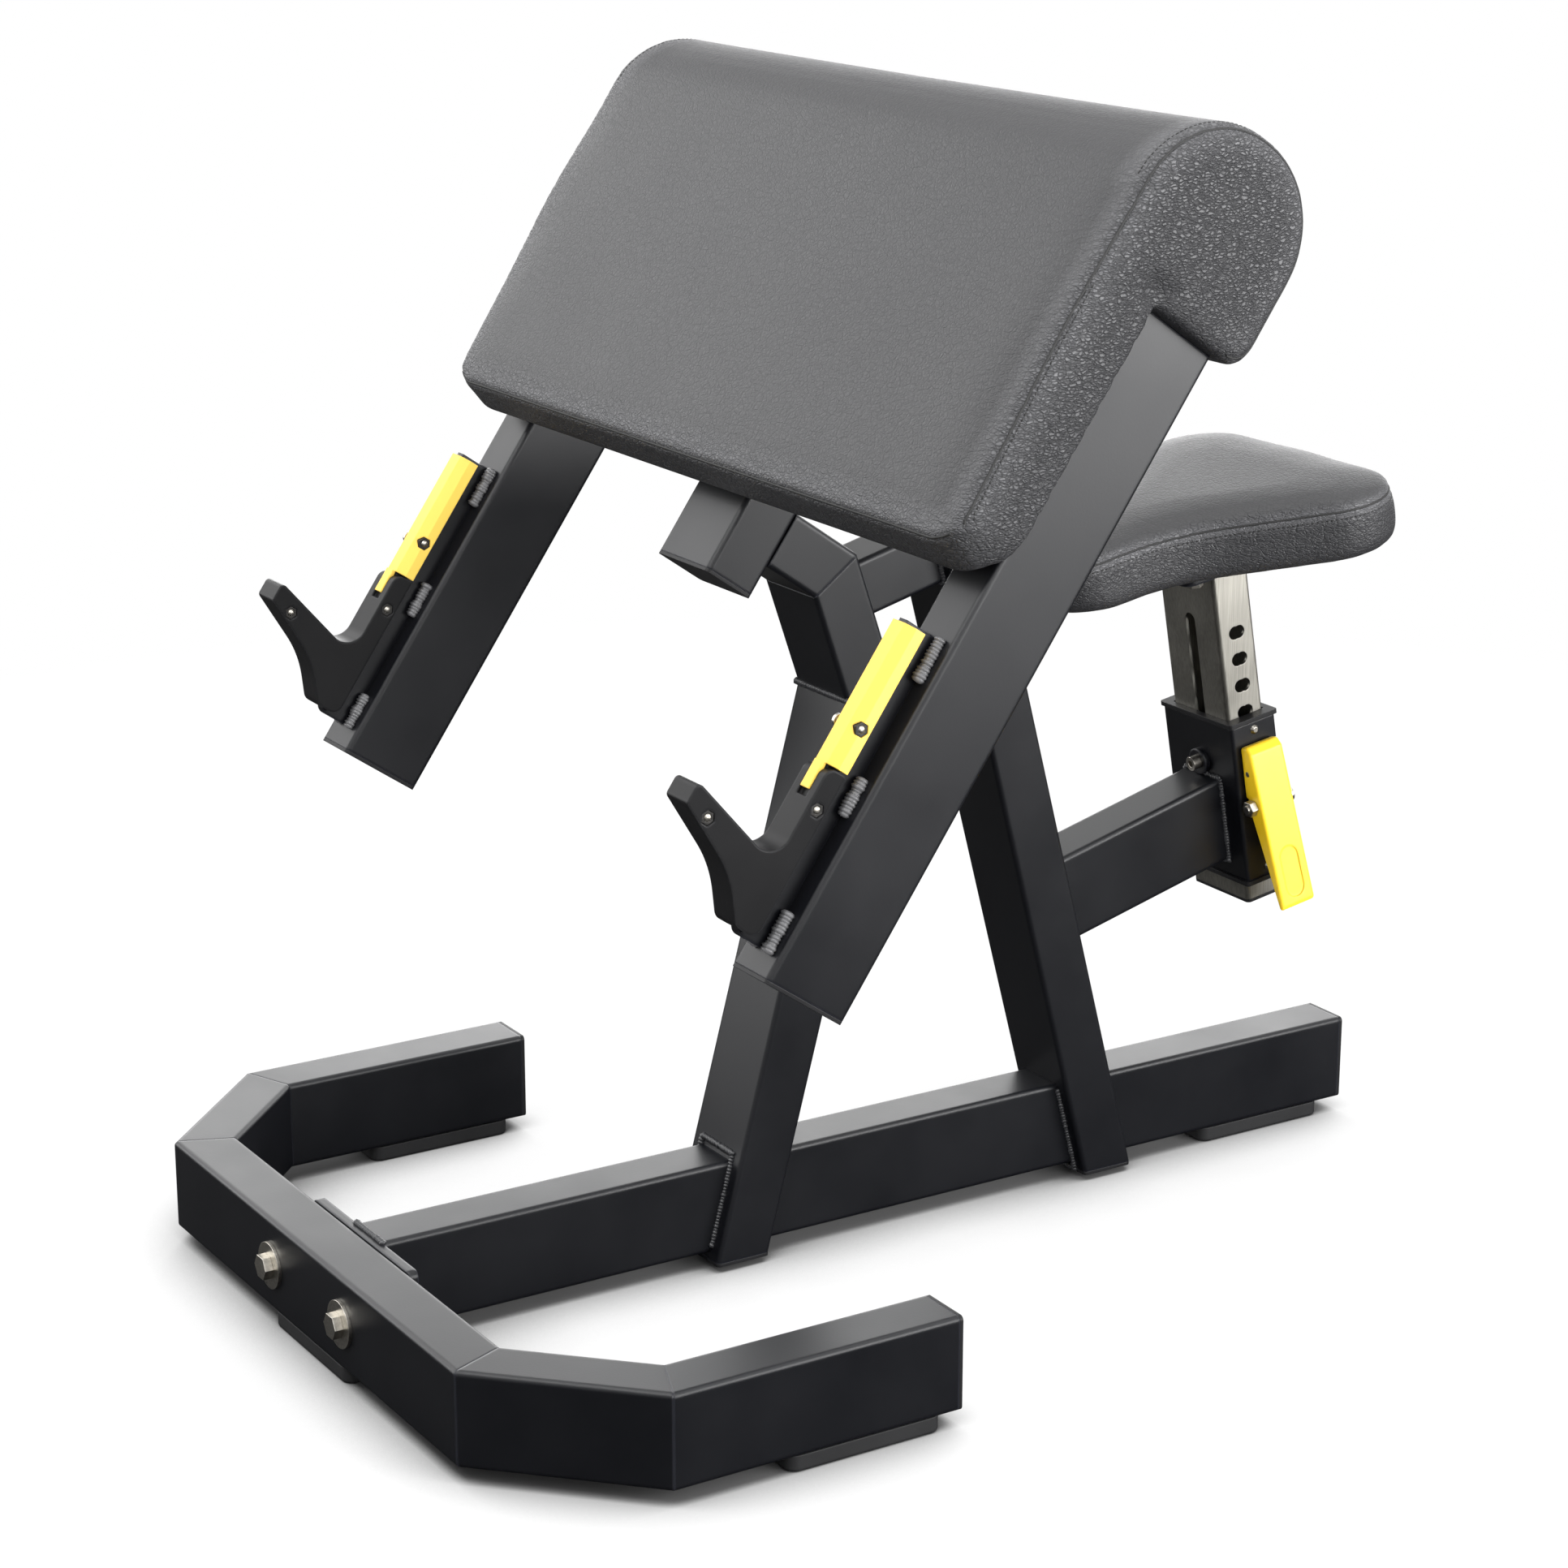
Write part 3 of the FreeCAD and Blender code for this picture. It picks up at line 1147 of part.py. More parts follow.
def lever_mount():
    """Bracket on the sleeve with ears for the pivot and a guide for the plunger, and the pivot's fixings."""
    face = sleeve_face
    plate = box("bracket_plate", "bracket_thick", "bracket_wide", "bracket_tall",
                column_at * shift(face + size.bracket_thick / 2, 0, bracket_low))
    tip = size.pivot_out + size.ear_radius
    ear_corners = [(face, -size.ear_radius, 0), (face + tip, -size.ear_radius, size.ear_radius),
                   (face + tip, size.ear_radius, size.ear_radius), (face, size.ear_radius, 0)]
    ears = slab("bracket_ears", "XZ_Plane", ear_corners, "bracket_wide")
    gap = box("ear_gap_tool", "lever_wide", "ear_gap", "bracket_tall",
              shift(face + size.bracket_thick + size.lever_wide / 2, 0, bracket_low))
    for tool in (ears, gap):
        tool.Placement = column_at * tool.Placement
    bush_at = column_at * shift(face - size.tube_wall, 0, size.plunger_at)
    bush = rod("bracket_bush", "guide_bush_dia", "bush_length", bush_at, X_AXIS)
    bore = rod("bracket_bore", "plunger_bore", "sleeve_wide",
               column_at * shift(0, 0, size.plunger_at), X_AXIS)
    pivot = column_at * shift(face + size.pivot_out, -size.lever_through / 2)
    bracket = fuse("bracket_blank", plate, cut("ears", ears, gap), bush)
    pivot_hole = rod("bracket_pivot", "pivot_dia", "lever_through", pivot, Y_AXIS)
    part(cut("bracket", bracket, bore, pivot_hole), "lever_bracket")

    side = size.lever_wide / 2 + size.side_clear
    nut_end = column_at * shift(face + size.pivot_out, -side - size.pivot_nut - size.pivot_spare)
    head_at = column_at * shift(face + size.pivot_out, side)
    shank = rod("pivot_shank", "pivot_dia", "pivot_reach", nut_end, Y_AXIS)
    head = rod("pivot_head", "pivot_head_dia", "pivot_head", head_at, Y_AXIS)
    part(fuse("pivot_bolt", shank, head), "lever_pivot_bolt")
    nut_at = nut_end * shift(0, size.pivot_spare)
    nut = hexagon("pivot_nut_block", "pivot_flats", "pivot_nut", nut_at, Y_AXIS)
    nut_bore = rod("pivot_nut_bore", "pivot_dia", "lever_wide", nut_end, Y_AXIS)
    part(cut("pivot_nut", nut, nut_bore), "lever_pivot_nut")


def plunger():
    """Round locking pin, slotted at its outer end for the pull pin, and the lever's return spring."""
    pin = rod("plunger_pin", "plunger_dia", "plunger_length",
              column_at * shift(plunger_nose, 0, size.plunger_at), X_AXIS)
    slot_low = size.plunger_at - size.pull_slot_tall / 2
    slot = box("plunger_slot", "pull_slot_wide", "lever_wide", "pull_slot_tall",
               column_at * shift(sleeve_face + size.pull_pin_out, 0, slot_low))
    part(cut("plunger", pin, slot), "lock_plunger")
    part(spring(sleeve_face), "lever_spring")


def biarc(start, start_way, end, end_way):
    """Two tangent arcs between two points with given directions."""
    chord = end - start
    ways = start_way + end_way
    spread = 2 * (1 - start_way * end_way)
    reach = (-(chord * ways) + math.sqrt((chord * ways) ** 2 + spread * (chord * chord))) / spread
    middle = (start + end + (start_way - end_way) * reach) * 0.5

    def arc(a, way, b):
        line = b - a
        swing = way.getAngle(line)
        side = way - unit(line) * (way * unit(line))
        crest = a + line * 0.5 + unit(side) * (line.Length / 2 * math.tan(swing / 2))
        return Part.Arc(a, crest, b).toShape()

    return [arc(start, start_way, middle), arc(end, -end_way, middle)]


def spring(face):
    """Compression spring between the sleeve and the lever's lower half."""
    wire = size.spring_wire / 2
    radius = size.spring_dia / 2
    start = face + wire + size.spring_clear
    room = lever_face_out(size.spring_at + radius + wire) - size.lever_face - wire - size.spring_clear
    turns = int(size.spring_turns)
    rise = (room - start) / turns

    def point(turn_count):
        angle = 2 * math.pi * turn_count
        return Vector(start + rise * turn_count, radius * math.cos(angle),
                      size.spring_at + radius * math.sin(angle))

    def heading(turn_count):
        angle = 2 * math.pi * turn_count
        return unit(Vector(rise / (2 * math.pi), -radius * math.sin(angle), radius * math.cos(angle)))

    edges = []
    for quarter in range(4 * turns):
        a, b = quarter / 4, (quarter + 1) / 4
        edges += biarc(point(a), heading(a), point(b), heading(b))
    path = Part.Wire(Part.sortEdges(edges)[0])
    section = Part.Wire(Part.Circle(point(0), heading(0), wire).toShape())
    coil = doc.addObject("Part::Feature", "spring_coil")
    coil.Shape = path.makePipeShell([section], True, False)
    coil.Placement = column_at
    print(f"spring: least gap between turns {rise - 2 * wire:.2f} mm")
    return coil


# Seat

def seat_outline(inset, front_inset):
    """Plan of the seat, wide behind and narrow in front, with its sides and its front drawn in."""
    rear_side = size.seat_rear - size.seat_back_bow
    corners = [
        (-size.seat_front_half, -size.seat_front, size.seat_front_round),
        (size.seat_front_half, -size.seat_front, size.seat_front_round),
        (size.seat_waist_half, -size.seat_waist, size.seat_waist_round),
        (size.seat_rear_half, rear_side, size.seat_rear_round),
        (0, size.seat_rear, size.seat_waist_round),
        (-size.seat_rear_half, rear_side, size.seat_rear_round),
        (-size.seat_waist_half, -size.seat_waist, size.seat_waist_round),
    ]
    return moved_corners(corners, [front_inset] + [inset] * 6)


def seat():
    """Plate on the post, board and cushion, held by bolts from below."""
    plate_low = size.post_top
    board_low = plate_low + size.seat_plate_thick
    bolts, holes = [], []
    for x in (-size.seat_bolt_x, size.seat_bolt_x):
        for y in (-size.seat_bolt_y, size.seat_bolt_y):
            under = column_at * shift(x, y, plate_low)
            shank = rod("seat_shank", "seat_bolt_dia", "seat_bolt_reach", under)
            head = hexagon("seat_bolt_head", "seat_bolt_flats", "seat_bolt_head",
                           under * shift(0, 0, -size.seat_bolt_head))
            bolts.append(fuse("seat_bolt", shank, head))
            holes.append(rod("seat_hole", "seat_bolt_hole", "seat_bolt_reach", under))
    plate = slab("seat_plate_blank", "XY_Plane",
                 rectangle_corners(size.plate_wide, size.plate_deep, size.seat_plate_corner),
                 "seat_plate_thick", both_ways=False)
    plate.Placement = column_at * shift(0, 0, plate_low)
    part(cut("seat_plate", plate, *holes), "seat_plate")
    board = slab("seat_board_blank", "XY_Plane", seat_outline(size.seat_board_inset, size.seat_board_front),
                 "seat_board_thick", both_ways=False)
    board.Placement = column_at * shift(0, 0, board_low)
    part(cut("seat_board", board, *holes), "seat_board")

    levels = [(size.seat_seam * up, seat_outline(size.seat_tuck * side, size.seat_nose * front))
              for up, side, front in SEAT_SIDE]
    for up, side in SEAT_TOP:
        inset = size.seat_dome * side
        levels.append((size.seat_seam + size.seat_crown * up, seat_outline(inset, inset)))
    body = layered("seat_form", "XY_Plane", levels)
    body.Placement = column_at * shift(0, 0, board_low)
    part(cut("seat_cushion", body, copy_of("board_in_seat", board)), "seat_cushion")
    part(group("seat_bolts", bolts), "seat_bolts")


base()
feet()
uprights()
arms()
end_caps()
hooks()
arm_pad()
column()
seat_post()
lever()
lever_mount()
plunger()
seat()
doc.recompute()

failed = [obj.Name for obj in doc.Objects if "Invalid" in obj.State or "Error" in obj.State]
if failed:
    raise RuntimeError("failed features: " + ", ".join(failed))
for node in nodes:
    if node.Shape.isNull() or not node.Shape.isValid() or not node.Shape.Solids:
        raise RuntimeError("bad shape: " + node.Label)

os.makedirs("parts", exist_ok=True)
for node in nodes:
    node.Shape.exportStep(os.path.join("parts", node.Label + ".step"))
print(f"{len(nodes)} sub-parts written")
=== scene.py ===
"""Looks of a preacher curl bench: powder-coated tube, vinyl upholstery, bar hooks and a sliding seat."""
import math

import bmesh
import bpy
import numpy as np
from mathutils import Matrix, Vector
from mathutils.bvhtree import BVHTree
from mathutils.kdtree import KDTree


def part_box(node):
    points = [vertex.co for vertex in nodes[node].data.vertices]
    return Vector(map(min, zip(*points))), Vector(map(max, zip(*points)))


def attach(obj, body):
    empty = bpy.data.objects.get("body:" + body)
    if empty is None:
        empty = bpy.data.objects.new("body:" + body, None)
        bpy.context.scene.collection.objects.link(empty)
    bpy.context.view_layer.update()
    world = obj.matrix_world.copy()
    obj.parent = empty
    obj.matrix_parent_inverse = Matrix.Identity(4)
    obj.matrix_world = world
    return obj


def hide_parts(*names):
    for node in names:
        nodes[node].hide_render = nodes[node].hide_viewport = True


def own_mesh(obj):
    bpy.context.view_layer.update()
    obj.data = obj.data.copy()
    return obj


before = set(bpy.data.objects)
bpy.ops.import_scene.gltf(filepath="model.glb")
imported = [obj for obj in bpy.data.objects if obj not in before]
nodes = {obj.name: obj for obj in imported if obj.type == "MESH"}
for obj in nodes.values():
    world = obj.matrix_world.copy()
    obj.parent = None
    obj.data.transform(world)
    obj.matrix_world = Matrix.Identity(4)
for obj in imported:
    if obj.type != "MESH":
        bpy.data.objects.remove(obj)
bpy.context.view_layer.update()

SIDES = {"right": 1, "left": -1}
X_AXIS, Y_AXIS, Z_AXIS = Vector((1, 0, 0)), Vector((0, 1, 0)), Vector((0, 0, 1))

# Layout of the frame, in metres and degrees
ARM_SLOPE = 55.2
ARM_SPREAD = 0.356
TUBE_TALL, TUBE_WIDE = 0.080, 0.050
POST_LEAN, ELBOW_LEAN, COLUMN_TILT = 15.0, 19.0, 10.0
SPINE_MID, SPINE_START = 0.054, 0.058
FRONT_FOOT, REAR_FOOT = 0.402, 0.765
KNEE_HEIGHT, ELBOW_RISE, STRUT_BELOW_BEND = 0.490, 0.108, 0.028
STRUT_HALF, CROSSBAR_HALF, SLEEVE_HALF = 0.025, 0.025, 0.025
SEAT_ARM_HEIGHT, CROSSBAR_UP = 0.267, 0.440

front_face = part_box("front_cross_tube")[0].y
arm_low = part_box("right_arm")[0]
sleeve_low, sleeve_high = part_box("sleeve")
arm_at = (Matrix.Translation((0, arm_low.y, arm_low.z + TUBE_TALL * math.cos(math.radians(ARM_SLOPE))))
          @ Matrix.Rotation(math.radians(ARM_SLOPE), 4, "X"))
column_at = (Matrix.Translation((Vector(sleeve_low) + Vector(sleeve_high)) / 2)
             @ Matrix.Rotation(math.radians(COLUMN_TILT), 4, "X"))


def lean(angle):
    """Unit vector in the side plane, leaning back from upright."""
    return Vector((0, math.sin(math.radians(angle)), math.cos(math.radians(angle))))


def rearward(up):
    """Normal of the rear face of a post that runs along a direction."""
    return Vector((0, up.z, -up.y))


def side_point(y, z):
    """Point in the middle plane, behind the cross tube's front face and above the floor."""
    return Vector((0, front_face + y, z))


# Node trees

def add_node(tree, kind, links=None, **settings):
    """New node with its settings; links maps inputs to values or to other nodes' outputs."""
    made = tree.nodes.new(kind)
    for key, value in settings.items():
        setattr(made, key, value)
    for key, value in (links or {}).items():
        if isinstance(value, bpy.types.NodeSocket):
            tree.links.new(value, made.inputs[key])
        else:
            made.inputs[key].default_value = value
    return made


def maths(tree, operation, first, second=0.0, third=0.0):
    made = add_node(tree, "ShaderNodeMath", {0: first, 1: second, 2: third}, operation=operation)
    return made.outputs[0]


def blend_colour(tree, share, dark, light):
    made = add_node(tree, "ShaderNodeMix", {0: share, 6: dark, 7: light}, data_type="RGBA")
    return made.outputs[2]


def spread(tree, value, low, high, to_low=0.0, to_high=1.0):
    """Value from one range to another, held at both ends."""
    made = add_node(tree, "ShaderNodeMapRange", {0: value, 1: low, 2: high, 3: to_low, 4: to_high})
    return made.outputs[0]


def shader_group(name, inputs, outputs):
    """Empty shader group with named sockets, its input node and its output node."""
    tree = bpy.data.node_groups.new(name, "ShaderNodeTree")
    for label, kind, value in inputs:
        socket = tree.interface.new_socket(label, in_out="INPUT", socket_type=kind)
        if value is not None:
            socket.default_value = value
    for label, kind in outputs:
        tree.interface.new_socket(label, in_out="OUTPUT", socket_type=kind)
    return tree, tree.nodes.new("NodeGroupInput"), tree.nodes.new("NodeGroupOutput")


def use_group(tree, group, **links):
    made = tree.nodes.new("ShaderNodeGroup")
    made.node_tree = group
    for key, value in links.items():
        label = key.replace("_", " ").title()
        if isinstance(value, bpy.types.NodeSocket):
            tree.links.new(value, made.inputs[label])
        else:
            made.inputs[label].default_value = value
    return made


FLOAT, VECTOR = "NodeSocketFloat", "NodeSocketVector"


def make_edge_light():
    """Mask of convex edges, and the normal that rounds them."""
    tree, given, result = shader_group("edge_light", [("Radius", FLOAT, 0.001)],
                                       [("Mask", FLOAT), ("Normal", VECTOR)])
    rounded = add_node(tree, "ShaderNodeBevel", {"Radius": given.outputs["Radius"]}, samples=6)
    plain = tree.nodes.new("ShaderNodeNewGeometry")
    match = add_node(tree, "ShaderNodeVectorMath", {0: rounded.outputs[0], 1: plain.outputs["Normal"]},
                     operation="DOT_PRODUCT")
    tree.links.new(spread(tree, match.outputs["Value"], 0.995, 0.85), result.inputs["Mask"])
    tree.links.new(rounded.outputs[0], result.inputs["Normal"])
    return tree


def make_soft_mottle():
    """Slow variation over a surface, as handling and coating leave it."""
    tree, given, result = shader_group("soft_mottle", [("Scale", FLOAT, 12.0)], [("Value", FLOAT)])
    where = tree.nodes.new("ShaderNodeTexCoord")
    cloud = add_node(tree, "ShaderNodeTexNoise", {"Vector": where.outputs["Object"],
                                                  "Scale": given.outputs["Scale"], "Detail": 4.0,
                                                  "Roughness": 0.55})
    tree.links.new(spread(tree, cloud.outputs[0], 0.3, 0.7), result.inputs["Value"])
    return tree


def make_fine_peel():
    """Height of the shallow orange peel of a sprayed or moulded skin."""
    tree, given, result = shader_group("fine_peel", [("Scale", FLOAT, 500.0)], [("Height", FLOAT)])
    where = tree.nodes.new("ShaderNodeTexCoord")
    cloud = add_node(tree, "ShaderNodeTexNoise", {"Vector": where.outputs["Object"],
                                                  "Scale": given.outputs["Scale"], "Detail": 2.0})
    tree.links.new(cloud.outputs[0], result.inputs["Height"])
    return tree


def make_pebble_grain():
    """Height and crease mask of embossed vinyl: flat pebbles between fine, wandering creases."""
    tree, given, result = shader_group("pebble_grain", [("Size", FLOAT, 0.0028)],
                                       [("Height", FLOAT), ("Crease", FLOAT)])
    where = tree.nodes.new("ShaderNodeTexCoord")
    rate = maths(tree, "DIVIDE", 1.0, given.outputs["Size"])
    warp = add_node(tree, "ShaderNodeTexNoise", {
        "Vector": where.outputs["Object"], "Scale": 160.0, "Detail": 2.0})
    bent = add_node(tree, "ShaderNodeVectorMath", {0: warp.outputs["Color"], 1: (0.5, 0.5, 0.5)},
                    operation="SUBTRACT")
    nudge = add_node(tree, "ShaderNodeVectorMath", {0: bent.outputs[0], "Scale": 0.0036}, operation="SCALE")
    place = add_node(tree, "ShaderNodeVectorMath", {0: where.outputs["Object"], 1: nudge.outputs[0]})
    drawn = add_node(tree, "ShaderNodeMapping", {"Vector": place.outputs[0], "Scale": (0.70, 0.60, 1.25)})
    cells = add_node(tree, "ShaderNodeTexVoronoi", {"Vector": drawn.outputs[0], "Scale": rate,
                                                    "Randomness": 0.95}, feature="DISTANCE_TO_EDGE")
    half_rate = maths(tree, "MULTIPLY", rate, 0.46)
    folds = add_node(tree, "ShaderNodeTexVoronoi", {"Vector": drawn.outputs[0], "Scale": half_rate},
                     feature="DISTANCE_TO_EDGE")
    pebble = spread(tree, cells.outputs["Distance"], 0.0, 0.24)
    dome = maths(tree, "POWER", pebble, 0.6)
    fold = spread(tree, folds.outputs["Distance"], 0.0, 0.10)
    height = maths(tree, "MULTIPLY_ADD", fold, 0.9, dome)
    crease = maths(tree, "SUBTRACT", 1.0, maths(tree, "MULTIPLY", pebble, fold))
    tree.links.new(height, result.inputs["Height"])
    tree.links.new(crease, result.inputs["Crease"])
    return tree


edge_light = make_edge_light()
soft_mottle = make_soft_mottle()
fine_peel = make_fine_peel()
pebble_grain = make_pebble_grain()


# Finishes

def new_finish(name):
    """Material with one Principled shader, and its tree."""
    finish = bpy.data.materials.new(name)
    finish.use_nodes = True
    tree = finish.node_tree
    shader = tree.nodes["Principled BSDF"]
    return finish, tree, shader


def set_plain(shader, **values):
    for key, value in values.items():
        shader.inputs[key.replace("_", " ")].default_value = value


def bump(tree, height, strength, distance, normal=None):
    made = add_node(tree, "ShaderNodeBump", {"Height": height, "Strength": strength, "Distance": distance})
    if normal is not None:
        tree.links.new(normal, made.inputs["Normal"])
    return made.outputs[0]


def coated(name, colour, worn, rough, specular, edge=0.0012, highlight_gain=1.0, peel=520.0, depth=0.00006,
           mottle=9.0):
    """Sprayed or moulded skin: soft edges, faint mottle and a fine peel; the gain lightens the edges, a
    painted highlight.
    """
    finish, tree, shader = new_finish(name)
    edges = use_group(tree, edge_light, radius=edge)
    cloud = use_group(tree, soft_mottle, scale=mottle)
    skin = use_group(tree, fine_peel, scale=peel)
    shade = blend_colour(tree, maths(tree, "MULTIPLY", cloud.outputs[0], 0.35), (*colour, 1), (*worn, 1))
    # Edge colour: the worn colour at a gain of 1, a painted highlight where the gain is larger.
    edge_wear_and_highlight = (*(channel * highlight_gain for channel in worn), 1)
    tree.links.new(blend_colour(tree, maths(tree, "MULTIPLY", edges.outputs["Mask"], 0.6), shade, edge_wear_and_highlight),
                   shader.inputs["Base Color"])
    tree.links.new(spread(tree, cloud.outputs[0], 0.0, 1.0, rough - 0.035, rough + 0.035),
                   shader.inputs["Roughness"])
    peeled = bump(tree, skin.outputs[0], 0.5, depth, edges.outputs["Normal"])
    tree.links.new(peeled, shader.inputs["Normal"])
    set_plain(shader, Specular_IOR_Level=specular)
    return finish


def brushed_steel(name, along, colour, rough=0.34):
    """Bare stainless, its brush marks drawn out along one of the object's axes."""
    finish, tree, shader = new_finish(name)
    where = tree.nodes.new("ShaderNodeTexCoord")
    stretch = add_node(tree, "ShaderNodeMapping", {"Vector": where.outputs["Object"], "Scale": along})
    marks = add_node(tree, "ShaderNodeTexNoise", {"Vector": stretch.outputs[0], "Scale": 1.0, "Detail": 5.0,
                                                  "Roughness": 0.65})
    cloud = use_group(tree, soft_mottle, scale=22.0)
    edges = use_group(tree, edge_light, radius=0.0008)
    dark = tuple(channel * 0.62 for channel in colour)
    tree.links.new(blend_colour(tree, spread(tree, marks.outputs[0], 0.3, 0.7), (*dark, 1), (*colour, 1)),
                   shader.inputs["Base Color"])
    uneven = maths(tree, "MULTIPLY_ADD", cloud.outputs[0], 0.10, rough - 0.05)
    tree.links.new(maths(tree, "MULTIPLY_ADD", marks.outputs[0], 0.12, uneven), shader.inputs["Roughness"])
    scored = bump(tree, marks.outputs[0], 0.25, 0.00006, edges.outputs["Normal"])
    tree.links.new(scored, shader.inputs["Normal"])
    set_plain(shader, Metallic=1.0)
    return finish


def vinyl(name):
    """Embossed black vinyl, puckered along its seams.

    The piece carries how far its seams are, how deep its grain is, which also lightens its base colour as
    painted light, and where a painted highlight lies along its sewn edges.
    """
    finish, tree, shader = new_finish(name)
    grain = use_group(tree, pebble_grain, size=0.0029)
    cloud = use_group(tree, soft_mottle, scale=7.0)
    gap = add_node(tree, "ShaderNodeAttribute", attribute_name="seam").outputs["Fac"]
    depth = add_node(tree, "ShaderNodeAttribute", attribute_name="grain_depth_and_painted_light").outputs["Fac"]
    gather = spread(tree, gap, 0.004, 0.026, 1.0, 0.0)
    plain = blend_colour(tree, cloud.outputs[0], (0.019, 0.019, 0.0212, 1), (0.025, 0.025, 0.0275, 1))
    # Painted light: where the grain is deep, on the end panels, sides and undersides, the base colour is
    # made lighter.
    skin = blend_colour(tree, maths(tree, "POWER", depth, 3.0), plain, (0.036, 0.036, 0.0392, 1))
    # Painted highlight: the base colour is lightened in a band along the sewn edges that face up.
    highlight_share = add_node(tree, "ShaderNodeAttribute", attribute_name="painted_edge_highlight").outputs["Fac"]
    skin = blend_colour(tree, maths(tree, "MULTIPLY", highlight_share, 0.8), skin, (0.100, 0.100, 0.106, 1))
    # Painted shade: the creases of the grain are darkened towards near black where the grain is deep.
    crease = maths(tree, "MULTIPLY", grain.outputs["Crease"], maths(tree, "MULTIPLY", depth, 0.55))
    tree.links.new(blend_colour(tree, crease, skin, (0.007, 0.007, 0.008, 1)), shader.inputs["Base Color"])
    rough = maths(tree, "MULTIPLY_ADD", crease, 0.26, 0.40)
    tree.links.new(maths(tree, "MULTIPLY_ADD", cloud.outputs[0], 0.05, rough), shader.inputs["Roughness"])
    embossed = bump(tree, maths(tree, "MULTIPLY", grain.outputs["Height"], depth), 0.9, 0.00058)
    where = tree.nodes.new("ShaderNodeTexCoord")
    pull = add_node(tree, "ShaderNodeTexNoise", {
        "Vector": where.outputs["Object"], "Scale": 85.0, "Detail": 2.0})
    puckered = bump(tree, maths(tree, "MULTIPLY", pull.outputs[0], gather), 0.35, 0.0022, embossed)
    tree.links.new(puckered, shader.inputs["Normal"])
    set_plain(shader, Specular_IOR_Level=0.46)
    return finish


def felted_board(name):
    """Black staple cloth over plywood, under the cushions."""
    finish, tree, shader = new_finish(name)
    where = tree.nodes.new("ShaderNodeTexCoord")
    weave = add_node(tree, "ShaderNodeTexNoise", {
        "Vector": where.outputs["Object"], "Scale": 900.0, "Detail": 3.0})
    tree.links.new(blend_colour(tree, weave.outputs[0], (0.010, 0.010, 0.010, 1), (0.030, 0.030, 0.030, 1)),
                   shader.inputs["Base Color"])
    tree.links.new(bump(tree, weave.outputs[0], 0.6, 0.0003), shader.inputs["Normal"])
    tree.links.new(spread(tree, weave.outputs[0], 0.0, 1.0, 0.85, 0.95), shader.inputs["Roughness"])
    return finish


def sewing_thread(name):
    """Twisted black thread of the seams."""
    finish, tree, shader = new_finish(name)
    twist = use_group(tree, fine_peel, scale=1800.0)
    shade = blend_colour(tree, twist.outputs[0], (0.004, 0.004, 0.004, 1), (0.022, 0.022, 0.022, 1))
    tree.links.new(shade, shader.inputs["Base Color"])
    tree.links.new(spread(tree, twist.outputs[0], 0.0, 1.0, 0.55, 0.75), shader.inputs["Roughness"])
    return finish


# Painted highlight: the large edge gain of the powder coat lights up its edges.
powder_coat = coated("black_powder_coat", (0.0026, 0.0029, 0.0045), (0.0066, 0.0070, 0.0094), 0.37, 0.39,
                     edge=0.0030, highlight_gain=4.5)
weld_coat = coated("coated_weld", (0.022, 0.023, 0.026), (0.060, 0.060, 0.064), 0.34, 0.60,
                   edge=0.0006, mottle=160.0)
# Painted light: the hook welds are coloured light grey, standing for the light their beads catch.
weld_with_painted_light = coated("hook_weld", (0.120, 0.120, 0.125), (0.190, 0.190, 0.195), 0.36, 0.55,
                   edge=0.0006, mottle=160.0)
# Painted highlight along the moulded black's edges, through its edge gain.
hook_black = coated("moulded_black", (0.0060, 0.0060, 0.0066), (0.0120, 0.0120, 0.0130), 0.40, 0.17,
                    edge=0.0026, highlight_gain=2.5, peel=900.0, depth=0.00005)
cap_black = coated("cap_black", (0.010, 0.010, 0.011), (0.018, 0.018, 0.020), 0.46, 0.22, edge=0.0010)
guard_yellow = coated("moulded_yellow", (0.92, 0.60, 0.080), (0.95, 0.66, 0.13), 0.42, 0.40, edge=0.0014,
                      peel=700.0, depth=0.00005)
lever_yellow = coated("lever_yellow", (0.92, 0.60, 0.012), (0.95, 0.66, 0.035), 0.34, 0.45, edge=0.0026,
                      peel=600.0, depth=0.00004)
foot_rubber = coated("foot_rubber", (0.012, 0.012, 0.013), (0.028, 0.028, 0.029), 0.62, 0.30, edge=0.0016,
                     peel=420.0, depth=0.00012)
post_steel = brushed_steel("brushed_post", (900.0, 900.0, 14.0), (0.40, 0.385, 0.345))
bolt_steel = brushed_steel("bolt_steel", (420.0, 420.0, 420.0), (0.60, 0.57, 0.51), 0.26)
# Painted shade: the hook nuts are coloured near black, standing for the shade of the recess they sit in.
shade_dark_nut = brushed_steel("nut_painted_shade", (420.0, 420.0, 420.0), (0.060, 0.058, 0.056), 0.40)
spring_steel = brushed_steel("spring_steel", (300.0, 300.0, 300.0), (0.42, 0.42, 0.43), 0.30)
black_vinyl = vinyl("black_vinyl")
board_cloth = felted_board("board_cloth")
thread = sewing_thread("black_thread")

